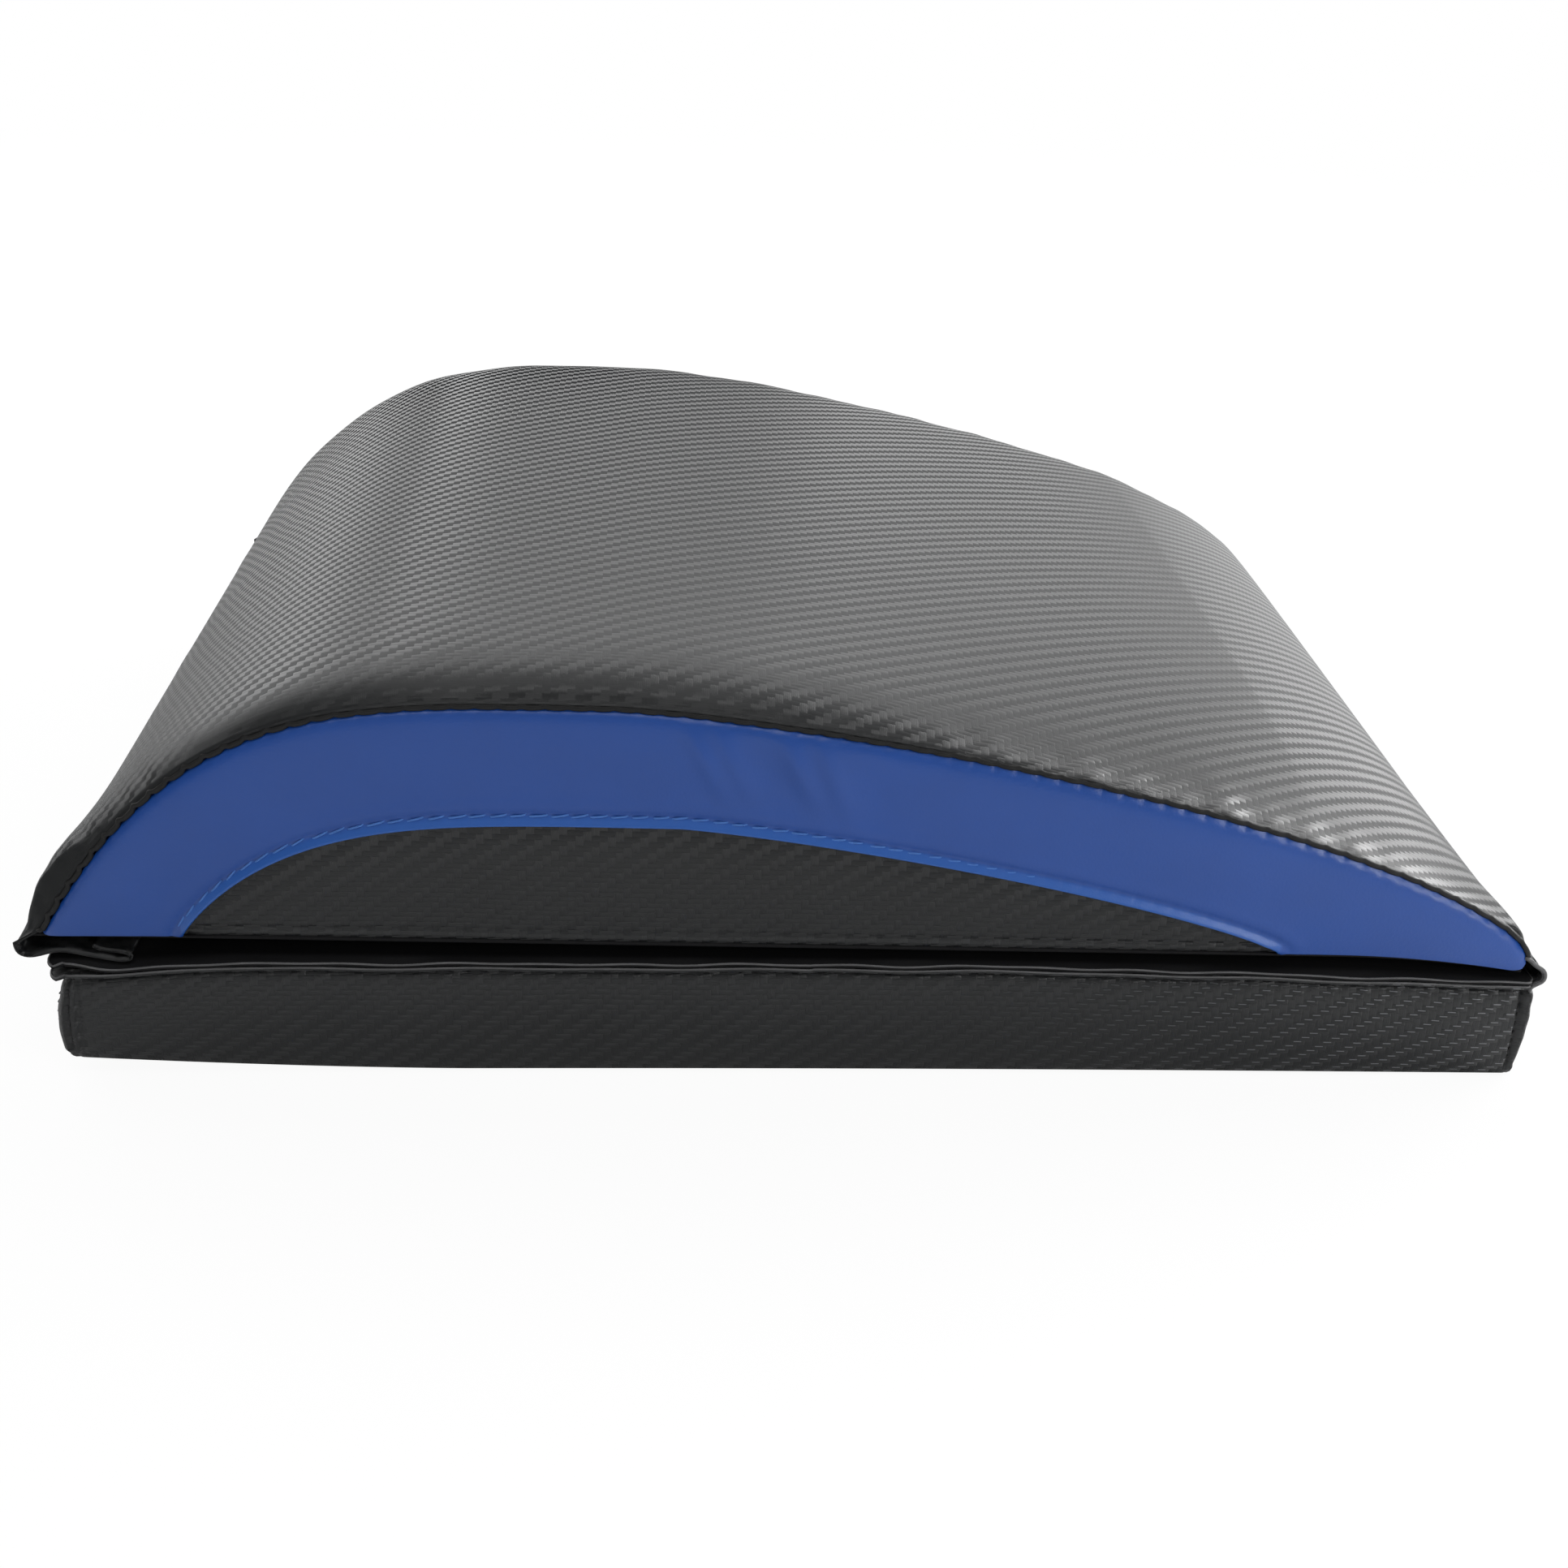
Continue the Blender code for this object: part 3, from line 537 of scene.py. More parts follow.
def woven_material(name, look, contrast, emboss, marked=False):
    """Black vinyl embossed like woven fibre. Its gloss stretches across each float's fibres, so the two
    kinds of float take the light in turn, and at grazing angles one kind is glossier by contrast. Where
    marked, the sheet's own relief and gloss values fade the floats and the shine."""
    recipe = Recipe(name)
    lies_along, pillow, fibres, crest = weave(recipe, look)
    patches = recipe.noise(0.03, 4.0)
    tone = recipe.tint(patches, *shades(look.black, 0.85, 1.2))
    facing = recipe.node("ShaderNodeLayerWeight", Blend=0.5).outputs["Facing"]
    grazing = recipe.node("ShaderNodeMapRange", Value=facing, From_Min=0.2, From_Max=0.55, To_Max=contrast)
    push = recipe.math("MULTIPLY", grazing.outputs[0], recipe.mix(lies_along, -1.0, 1.0))
    if marked:
        relief, gloss = recipe.mark("relief"), recipe.mark("gloss")
        push = recipe.math("MULTIPLY", push, relief)
        pillow = recipe.math("MULTIPLY", pillow, relief)
    else:
        # Painted highlight: this mark paints the upper crest of each float along U pale, as glints of light
        # from the right.
        painted_glint = recipe.math("MULTIPLY", recipe.mark("painted_glint"), recipe.math("MULTIPLY", crest, lies_along))
        tone = recipe.tint(painted_glint, tone, (0.15, 0.155, 0.165))
    rough = recipe.math("MULTIPLY_ADD", push, -0.15, 0.49)
    level = recipe.math("MULTIPLY_ADD", push, 0.28, 0.45)
    if marked:
        level = recipe.math("MULTIPLY", level, gloss)
    grain = recipe.noise(0.00045, 2.0)
    height = recipe.math("ADD", pillow, recipe.math("MULTIPLY", fibres, 0.06))
    normal = recipe.bump(height, emboss, recipe.bump(grain, 0.00001))
    tangent = recipe.make("ShaderNodeTangent", direction_type="UV_MAP", uv_map="weave")
    return recipe.finish(Base_Color=tone, Roughness=rough, IOR=1.5, Normal=normal, Anisotropic=0.9,
                         Specular_IOR_Level=level, Anisotropic_Rotation=recipe.mix(lies_along, 0.0, 0.25),
                         Tangent=tangent.outputs[0])


@once
def woven_vinyl(look):
    """The sheet of the cover."""
    return woven_material("woven_vinyl", look, 1.0, look.emboss, marked=True)


@once
def side_vinyl(look):
    """The sheet of the sides and the pad, less stretched, so its floats stand up more."""
    return woven_material("side_vinyl", look, 0.5, look.emboss * 1.8)


@once
def shaded_edge_vinyl(look):
    """Dull black of the turned edge in the seam, darker than the cover: painted shade of the seam's groove."""
    recipe = Recipe("shaded_edge_vinyl")
    cloud = recipe.noise(0.004, 3.0)
    # Painted shade: a tone below the cover's black, for the shadowed groove of the seam.
    tone = recipe.tint(cloud, (0.004, 0.004, 0.004), (0.012, 0.012, 0.012))
    return recipe.finish(Base_Color=tone, Roughness=0.6, Specular_IOR_Level=0.25)


@once
def lit_rubbed_vinyl(look):
    """Edges of the flange and the hinge, paler than the sheet: partly rubbed wear, partly painted highlight
    where the edges catch the light.
    """
    recipe = Recipe("lit_rubbed_vinyl")
    cloud = recipe.noise(0.006, 4.0)
    tone = recipe.tint(cloud, (0.03, 0.03, 0.031), (0.1, 0.101, 0.104))
    scuffs = recipe.bump(recipe.noise(0.0006, 2.0), 0.00008)
    return recipe.finish(Base_Color=tone, Roughness=0.42, Normal=scuffs)


@once
def blue_vinyl(look):
    """Smooth vinyl with a fine grain and faint cloudy variation, paler over its turned hem: partly the
    stretched edge, partly a painted sheen of light from above.
    """
    recipe = Recipe("blue_vinyl")
    cloud = recipe.noise(0.02, 3.0)
    fine = recipe.noise(0.0011, 4.0)
    tone = recipe.tint(cloud, *shades(look.blue, 0.93, 1.1))
    # Painted sheen: the turned hem is tinted a paler blue, partly its stretched edge, partly light from above
    # painted in.
    turned = recipe.math("MULTIPLY", recipe.mark("turned"), 0.8)
    tone = recipe.tint(turned, tone, (0.016, 0.095, 0.37))
    rough = recipe.math("ADD", 0.34, recipe.math("MULTIPLY", fine, 0.1))
    normal = recipe.bump(recipe.cells(1400.0), 0.00002, recipe.bump(fine, 0.00003))
    return recipe.finish(Base_Color=tone, Roughness=rough, IOR=1.47, Normal=normal)


@once
def lining_vinyl(look):
    """Plain black sheet with a pebbled grain."""
    recipe = Recipe("lining_vinyl")
    cloud = recipe.noise(0.025, 3.0)
    tone = recipe.tint(cloud, *shades(look.lining, 1.0, 1.7))
    rough = recipe.math("ADD", 0.65, recipe.math("MULTIPLY", cloud, 0.15))
    return recipe.finish(Base_Color=tone, Roughness=rough, Specular_IOR_Level=0.12,
                         Normal=recipe.bump(recipe.cells(900.0), 0.00006))


def thread_material(name, colour):
    """Twisted thread: slanting plies as fine ridges in the piece's own coordinates."""
    recipe = Recipe(name)
    split = recipe.node("ShaderNodeSeparateXYZ", Vector=recipe.place())
    slant = recipe.math("ADD", recipe.math("ADD", split.outputs["X"], split.outputs["Y"]),
                        recipe.math("MULTIPLY", split.outputs["Z"], 1.3))
    ply = recipe.math("SINE", recipe.math("MULTIPLY", slant, 2 * math.pi / 0.00042))
    tone = recipe.tint(recipe.math("MULTIPLY_ADD", ply, 0.5, 0.5), *shades(colour, 0.75, 1.25))
    return recipe.finish(Base_Color=tone, Roughness=0.6, Specular_IOR_Level=0.3,
                         Normal=recipe.bump(ply, 0.00005))


@once
def blue_thread(look):
    """Topstitches of the bands."""
    return thread_material("blue_thread", look.blue_thread)


@once
def black_thread(look):
    """Every other row."""
    return thread_material("black_thread", look.black_thread)


@once
def fastening_tape(look):
    """Matted loops: strong fine noise over a dark base."""
    recipe = Recipe("fastening_tape")
    pile = recipe.noise(0.0006, 5.0, 0.7)
    tone = recipe.tint(pile, (0.006, 0.006, 0.006), (0.05, 0.05, 0.05))
    return recipe.finish(Base_Color=tone, Roughness=0.9, Normal=recipe.bump(pile, 0.0004))


# Shape of the hump


def arc_height(x, apex, rise, runs, powers, roots):
    """Each side falls as rise * (1 - t ** power) ** root, with t from the apex to the foot."""
    left = np.clip((apex - x) / runs[0], 0, 1)
    right = np.clip((x - apex) / runs[1], 0, 1)
    return rise * (1 - left ** powers[0]) ** roots[0] * (1 - right ** powers[1]) ** roots[1]


class Hump:
    """The hump's curves, worked out from its sizes in the plane of its base, with x from the hinge's
    axis."""

    def __init__(self, size):
        self.size = size
        self.tip = -size.tip_setback
        self.apex = self.tip - size.seam_right
        self.left = size.length - size.seam_right - size.end_bulge
        self.foot = self.apex - self.left
        self.steep_foot = self.foot - size.end_bulge

    def droop(self, x):
        """How far the tip's base hangs: the square of the share of its length."""
        size = self.size
        return size.droop * np.clip((x - self.tip + size.droop_length) / size.droop_length, 0, None) ** 2

    def seam_height(self, x):
        """The side's upper edge over its lower one, with the droop added that placed() takes off."""
        runs = (self.left, self.size.seam_right)
        return arc_height(x, self.apex, self.size.seam_rise, runs, SEAM_POWERS, SEAM_ROOTS) + self.droop(x)

    def seam(self):
        """The line where the top cover meets a side, from the steep foot to the tip."""
        x = self.foot + (self.tip - self.foot) * (1 - np.cos(np.linspace(0, np.pi, 4000))) / 2
        return np.stack([x, SIDE_FLOOR + self.seam_height(x)], axis=1)

    def band_shape(self, growth=0.0):
        """Apex, rise and runs of the band's arc, or of that arc grown all round."""
        size = self.size
        runs = (self.left + size.band_shift - size.steep_margin + growth,
                size.seam_right - size.band_shift - size.tip_margin + growth)
        return self.apex + size.band_shift, size.seam_rise - size.band_depth + growth, runs

    def band_arc(self, growth=0.0):
        """The band's lower edge, from foot to foot."""
        apex, rise, runs = self.band_shape(growth)
        x = apex - runs[0] + (runs[0] + runs[1]) * (1 - np.cos(np.linspace(0, np.pi, 3000))) / 2
        z = SIDE_FLOOR + arc_height(x, apex, rise, runs, BAND_POWERS, BAND_ROOTS)
        return np.stack([x, z], axis=1)

    def half_width(self, x, z):
        """Half the width at a point of a side face, which swells between base and seam."""
        height = np.maximum(self.seam_height(x), SIDE_FLOOR)
        share = np.clip((z - SIDE_FLOOR) / height, 0, 1)
        swell = np.sqrt(height / self.size.seam_rise) * 4 * share * (1 - share)
        return self.size.width / 2 - self.size.side_inset + self.size.side_bulge * swell

    def placed(self, points):
        """Points over the base set in the world: bent down at the tip, tilted and moved to the hinge."""
        z = points[..., 2] + self.size.base_rise - self.droop(points[..., 0])
        x = points[..., 0]
        turned = np.stack([x * math.cos(TILT) + z * math.sin(TILT), points[..., 1],
                           z * math.cos(TILT) - x * math.sin(TILT)], axis=-1)
        return turned + np.array(HINGE)


def across_shares(cuts, half):
    """Shares of the half width from front to back, closer together near both seams, whose turned edges get
    some more of them."""
    even = np.linspace(-1, 1, cuts)
    base = np.sin(even * math.pi / 2) * 0.75 + np.sign(even) * (1 - (1 - np.abs(even)) ** 2) * 0.25
    edge = 1 - np.array([0.0003, 0.0007, 0.00095, 0.0014, 0.0017, 0.0025]) / half
    return np.sort(np.concatenate([base, edge, -edge]))


def cover_rise(hump, x, run, shares, from_seam):
    """How far the cover stands off its seams: crown * sqrt(1 - share ** 14), which tends to 1 - share ** 4
    down the long slope. Lumps, dents and puckers are sums of sines, and each of them, as the bulges over
    both feet and the slump at the tip, fades as a bell of the distance from its place."""
    size = hump.size
    to_tip = np.clip((hump.tip - x) / TIP_FADE, 0, 1)
    steep = np.clip((hump.apex - x) / hump.left, 0, 1) ** 2
    crown = (size.crown + (size.end_bulge - size.crown) * steep) * np.sqrt(to_tip)
    crown -= 0.0018 * bell(run - 0.06, 0.03) + 0.0016 * bell(run - 0.008, 0.02)
    eased = np.where(shares < 0, 0.85, 0.3)
    soft = eased * smooth((x - hump.apex - 0.01) / 0.12)[:, None]
    share = np.abs(shares)
    rise = crown[:, None] * ((1 - soft) * np.sqrt(1 - share**CROWN_POWER) + soft * (1 - share**4))

    place = run[:, None] + np.where(shares < 0, 0.0, 0.37)
    lumps = waves(place, (0.071, 0.043, 0.029), (0.1, 0.65, 0.3)) * bell(from_seam, 0.016)
    dents = waves(place, (0.019, 0.0123), (0.4, 0.2)) * bell(from_seam - 0.003, 0.006)
    slack = np.clip((x - hump.apex + 0.03) / 0.12, 0, 1)[:, None]
    to_end = run[:, None] - run[-1]
    foot = 0.0046 * bell(run - 0.012, 0.014)[:, None] * bell(from_seam, 0.024)
    nose = 0.0047 * bell(to_end, 0.014) * bell(from_seam, 0.028)
    nose = nose * (0.3 + 0.7 * smooth(-to_end / 0.009))
    slump = 0.0022 * bell(to_end, 0.03) * np.clip((0.9 - shares) / 1.6, 0, 1)
    puckers = waves(run[:, None] + 0.4 * from_seam, (0.0113, 0.0071, 0.0163), (0.2, 0.6, 0.9))
    puckers = puckers * bell(run - 0.032, 0.026)[:, None] * bell(from_seam - 0.006, 0.008)
    near = (shares < 0) * np.clip(from_seam / 0.002, 0, 1)
    rise = rise + near * (foot + nose + 0.00045 * puckers) + 0.0004 * lumps + 0.0003 * dents * slack
    return rise - np.minimum(slump, 0.8 * rise)


def cover_wear(from_apex, run, shares, from_seam):
    """Relief and gloss of the cover's weave. Both fall where it is pressed beside the steep side's seams
    and worn at its feet, and rise where it is rubbed or drawn tight beside the long slope's seams."""
    pressed = bell(from_seam, 0.0085) * (1 - smooth((from_apex - 0.005) / 0.09))
    steep_side = smooth((-from_apex - 0.03) / 0.06)
    rubbed = smooth((from_apex - 0.03) / 0.08) * bell(from_seam - 0.005, 0.004)
    foot_worn = bell(run, 0.02)[:, None]
    tip_worn = smooth((from_apex - 0.2) / 0.03) * bell(from_seam, 0.025) * (shares < 0)
    drawn = smooth((from_apex - 0.05) / 0.08) * bell(from_seam, 0.005)
    relief = 1.25 - 0.3 * smooth((from_apex + 0.03) / 0.15) - 0.55 * smooth((from_apex - 0.12) / 0.09)
    relief = relief * (1 + 0.35 * shares) * (1 + 0.6 * rubbed) * (1 - 0.9 * pressed) * (1 - 0.4 * foot_worn)
    gloss = (1 - (0.05 + 0.55 * steep_side) * pressed) * (1 - 0.3 * foot_worn)
    return relief, gloss * (1 + 0.2 * rubbed + 0.9 * drawn) * (1 - 0.6 * tip_worn)


def flap_rows(hump, width_line):
    """The closure flap: its course carried across the mat along the cover's first row, rippled by sums of
    sines that grow with the distance from the foot."""
    course = spaced(rounded(FLAP_COURSE, 3), 64)[:, None]
    across = np.broadcast_to(width_line * 0.997, (len(course), len(width_line)))
    loose = np.clip(course[..., 0] / 0.01, 0, 1)
    x = hump.steep_foot + course[..., 0] + 0.0006 * waves(across, (0.12, 0.047), (0.6, 0.1)) * (0.4 + loose)
    z = course[..., 1] + 0.0004 * waves(across, (0.083, 0.031), (0.2, 0.7)) * loose
    return np.stack([x, across, z], axis=-1)


def turned_edge(column, way, fade):
    """Three columns that fold in and down beyond a side of the cover, where fade is 1, and hang just beside
    it where it is 0, on the flap."""
    rim = np.repeat(column[:, None], 3, axis=1)
    rim[..., 1] += way * np.array([0.0002, 0.0007, 0.0016]) * fade
    rim[..., 2] -= np.array([0.0004, 0.00065, 0.0007]) * fade
    rim[..., 1] += way * (1 - fade) * np.array([0.0001, 0.0002, 0.0003])
    return rim


def cover_sheet(hump):
    """The top cover and its flap in one grid. Over the hump a point is the seam's point pushed out along
    the seam's normal by cover_rise(), at its share of the half width, and it turns in at both seams. Past
    the tip the rows roll down on a quarter circle, and under the steep foot they follow the flap's
    course."""
    seam = spaced(hump.seam(), 480)
    seam = seam + left_of(seam) * SIDE_FLOOR
    normal = left_of(seam)
    normal[:, 1] *= np.clip((seam[:, 1] - SIDE_FLOOR) / FOOT_TURN, 0, 1)
    normal = unit(normal)
    run = run_of(seam)
    shares = across_shares(66, hump.size.width / 2)
    half = hump.half_width(seam[:, 0], seam[:, 1])[:, None]
    from_seam = half * (1 - np.abs(shares))
    rise = cover_rise(hump, seam[:, 0], run, shares, from_seam)
    relief, gloss = cover_wear(seam[:, None, 0] - hump.apex, run, shares, from_seam)
    x = seam[:, None, 0] + normal[:, None, 0] * rise
    z = seam[:, None, 1] + normal[:, None, 1] * rise
    fullness = 0.0004 * bell(rise - 0.0012, 0.0005) * (from_seam > 0)
    y = half * shares + np.sign(shares) * fullness
    top = np.stack([x, y, z], axis=-1)

    turn = np.linspace(0, np.pi / 2, 6)[1:]
    lip = TIP_ROLL * np.stack([np.sin(turn), 0 * turn, np.cos(turn) - 1], axis=-1)
    tip = top[-1:] + lip[:, None]
    flap = flap_rows(hump, y[0])
    points = np.concatenate([flap, top, tip])
    fade = np.clip(np.arange(len(points)) - len(flap) - 2, 0, 10)[:, None] / 10
    left, right = turned_edge(points[:, 0], 1, fade), turned_edge(points[:, -1], -1, fade)
    points = np.concatenate([left[:, ::-1], points, right], axis=1)

    middle = points[:, points.shape[1] // 2]
    v = run_of(points[np.argmax(middle[:, 2])][:, 1:])
    uv = paired(run_of(middle[:, ::2])[:, None], v - v.mean())
    around = ((len(flap), len(tip)), (3, 3))
    marks = {"relief": np.pad(relief, around, mode="edge"), "gloss": np.pad(gloss, around, mode="edge")}
    marks["gloss"][:len(flap)] = 1.0
    return hump.placed(points), uv, marks


def band_grid(hump, count):
    """Lower and upper rims of a band: along the base, over the arc and along the base, and the top seam."""
    left, right = BAND_CORNER_SHARES
    feet = int(count * left), int(count * (1 - right))
    arc = spaced(hump.band_arc(), count - sum(feet))
    foot = np.linspace(hump.foot, arc[0, 0], feet[0] + 1)[:-1]
    tip = np.linspace(arc[-1, 0], hump.tip, feet[1] + 1)[1:]
    x = np.concatenate([foot, arc[:, 0], tip])
    blunt = np.clip(1 + (tip - hump.tip) / 0.004, 0, 1)
    z = np.concatenate([0 * foot + SIDE_FLOOR, arc[:, 1], SIDE_FLOOR + 0.0026 * (1 - np.sqrt(1 - blunt**2))])
    seam = hump.seam()
    shares = np.concatenate([np.linspace(0, left, feet[0] + 1)[:-1], np.linspace(left, right, len(arc)),
                             np.linspace(right, 1, feet[1] + 1)[1:]])
    return np.stack([x, z], axis=1), along(seam, shares * run_of(seam)[-1])


def edge_spacing(rows):
    """Shares from 0 to 1 that crowd towards both ends."""
    t = np.linspace(-1, 1, rows)
    return 0.5 + 0.5 * np.sign(t) * (1 - (1 - np.abs(t)) ** 1.9)


def band_sheet(hump, sewing):
    """A blue band: a sheet between its rims on the swelling side face. Its hem is a low roll up to the
    topstitch row, each stitch of both seams pulls a dimple, and soft folds lie near the middle."""
    lower, upper = band_grid(hump, 560)
    share = edge_spacing(34)[:, None, None]
    flat = lower[None] + (upper - lower)[None] * share
    x, z = flat[..., 0], flat[..., 1]
    arc = spaced(hump.band_arc(), 3000)
    to_arc, arc_run = nearest(flat, arc)
    to_seam, seam_run = nearest(flat, spaced(hump.seam(), 4400))
    row = hump.size.topstitch
    over = np.clip(z / 0.004, 0, 1)
    hem = 0.0018 * np.clip(1 - to_arc / row, 0, 1) * np.sqrt(np.clip(to_arc / 0.0004, 0, 1))
    sewn = stitch_pull(arc_run, sewing.top_pitch)
    groove = -0.0004 * bell(to_arc - row - 0.0001, 0.0005) * (0.5 + 0.6 * sewn**4)
    swell = 0.0003 * bell(to_arc - row - 0.0025, 0.002)
    pull = stitch_pull(seam_run, sewing.seam_pitch)
    right = np.clip((x - hump.apex) / 0.06, 0.25, 1)
    late = smooth((x - hump.apex - 0.03) / 0.07)
    uneven = waves(seam_run, (0.0137, 0.0231, 0.041), (0.1, 0.5, 0.8))
    roll_width = 0.0009 + 0.0006 * late + 0.0002 * uneven * right
    fullness = 0.001 + 0.0004 * right - 0.0005 * late
    bulge = fullness * (1 - np.exp(-to_seam / roll_width)) * bell(to_seam, 0.017)
    seam_dents = bulge - 0.0003 * bell(to_seam - 0.0002, 0.0009) * pull**3 * (0.4 + 0.6 * right)
    folds = 0
    for place, depth, width, lean in BAND_FOLDS:
        folds = folds + depth * bell(x + lean * (z - 0.05) - place, width)
    folds = folds * bell(to_seam - 0.01, 0.009)
    sag = 0.00025 * waves(x, (0.11, 0.063), (0.3, 0.8)) * bell(to_seam - 0.012, 0.01)
    proud = (hem + groove + swell) * over + seam_dents + folds + sag
    y = -(hump.half_width(x, z) + proud)
    points = np.stack([x, y, z], axis=-1)
    bottom = tucked(points[0], (0.0009, 0.0006, 0.00025), (0.0003, -0.00005, -0.0001))
    top = tucked(points[-1], (0.0003, 0.0008, 0.0018), (0.0003, 0.0004, 0.0004))
    points = np.concatenate([bottom, points, top])
    # This mark picks out the hem's strip, which the blue vinyl paints paler, partly as a painted sheen.
    turned = smooth((row - to_arc) / 0.0007) * over * (x > arc[0, 0]) * (x < arc[-1, 0])
    turned = np.pad(turned, ((3, 3), (0, 0)), mode="edge")
    return hump.placed(points), points[..., [0, 2]], {"turned": turned}


def welt_sheet(hump, sewing):
    """The turned edge of the cover along the top seam: half a rounded strip carried along the seam, which
    sinks a little at each stitch."""
    seam = spaced(hump.seam(), 1500)
    away = left_of(seam)
    run = run_of(seam)
    pull = stitch_pull(run, sewing.seam_pitch)
    turn = np.linspace(-0.35 * np.pi, 1.1 * np.pi, 9)
    half = 0.00072
    up = (half * (1 - np.cos(turn)))[None] + 0.00008 * waves(run, (0.031, 0.017), (0.2, 0.5))[:, None]
    steep = smooth((hump.apex - 0.05 - seam[:, 0]) / 0.05)
    up = up + ((0.00022 + 0.0004 * steep) * pull**4)[:, None]
    out = np.sin(turn)[None] * 0.0005 + 0.0001 - 0.00018 * pull[:, None]
    x = seam[:, None, 0] + away[:, None, 0] * up
    z = seam[:, None, 1] + away[:, None, 1] * up
    y = -(hump.half_width(seam[:, 0], seam[:, 1])[:, None] + out)
    return hump.placed(np.stack([x, y, z], axis=-1)), paired(run[:, None], up)


def insert_sheet(hump, sewing):
    """The woven segment behind the band: a sheet from the base up to an arc behind the band's hem, pulled
    in at the topstitches and creased along its lower seam."""
    arc = spaced(hump.band_arc(INSERT_LAP), 420)
    lower = np.stack([arc[:, 0], np.full(len(arc), SIDE_FLOOR)], axis=1)
    flat = lower[None] + (arc - lower)[None] * np.linspace(0, 1, 46)[:, None, None]
    x, z = flat[..., 0], flat[..., 1]
    to_edge, run = nearest(flat, spaced(hump.band_arc(), 900))
    shown = z <= arc_height(x, *hump.band_shape(), BAND_POWERS, BAND_ROOTS)
    pull = stitch_pull(run, sewing.top_pitch)
    dents = -0.00035 * bell(to_edge, 0.003) * pull * shown
    crease = -0.0005 * bell(z - SIDE_FLOOR - 0.0022, 0.0005)
    sag = 0.0003 * waves(x, (0.13, 0.057), (0.1, 0.6)) * np.clip(z / 0.01, 0, 1) * shown
    y = -(hump.half_width(x, z) - INSERT_DEPTH + dents + crease + sag)
    points = np.stack([x, y, z], axis=-1)
    rim = tucked(points[0], (0.0025, 0.0011, 0.0003), (-0.0011, -0.0009, -0.0004))
    points = np.concatenate([rim, points])
    return hump.placed(points), points[..., [0, 2]]


def base_sheet(hump):
    """The flat panel under the hump: a sum of sines that fades to its edges, with a crease as a bell of the
    distance from them."""
    start = hump.steep_foot + 0.0012
    x = start + (hump.tip - hump.steep_foot - 0.0012) * np.linspace(0, 1, 150)
    grid_x, grid_share = np.meshgrid(x, np.linspace(-1, 1, 120), indexing="ij")
    half = hump.size.width / 2 - hump.size.side_inset - 0.0006
    y = half * grid_share
    from_edge = np.minimum(half - np.abs(y), np.minimum(grid_x - x[0], x[-1] - grid_x))
    slack = 0.0005 * waves(grid_x + 0.3 * y, (0.09, 0.05), (0.2, 0.5)) * np.clip(from_edge / 0.03, 0, 1)
    crease = -0.0004 * bell(from_edge - 0.004, 0.0007)
    z = SIDE_FLOOR * 0.25 + slack - crease
    points = np.stack([grid_x, y, z], axis=-1)
    return hump.placed(points), points[..., :2]


# Shape of the pad

INNER_RADIUS = 0.0006
FACE_SHARES = (0.02, 0.3, 0.62, 0.92)
SEWING_DROP = 0.0011
MILLIMETRE = 0.001
LIT_EDGE_RADIUS = 0.00028
BINDING_RADIUS = 0.00055
ROLL_ROWS = 6
SIDE_ROWS = 20

# Profiles of the flange's two layers: shares of its width outwards, and millimetres over the seam
LOWER_LAYER = (
    (-0.45, -0.85),
    (0.1, -0.4),
    (0.65, -0.15),
    (0.93, 0.1),
    (1.0, 0.4),
    (1.0, 0.75),
    (0.9, 1.0),
    (0.5, 1.1),
    (-0.8, 1.1),
)
UPPER_LAYER = (
    (0.4, 2.6),
    (0.8, 2.5),
    (1.0, 2.3),
    (1.05, 1.9),
    (1.0, 1.55),
    (0.8, 1.35),
    (-0.8, 1.35),
)

# The flange curls up at the heel
LOWER_CURL = 0.0009
UPPER_CURL = 0.003
CURL_WIDTH = 0.0085


def crowded(length, step):
    """Places from 0 to a length at even steps, and finer over the last 5 mm."""
    start = length - 0.005
    return np.concatenate([np.linspace(0, start, int(start / step))[:-1], np.linspace(start, length, 20)])


def corner_seam_place(share, left_corner):
    """Where a corner's seam lies on the long side, measured from the corner, from the roll up to the
    flange."""
    return np.where(left_corner, -0.0008, -0.0011 + 0.0003 * share)


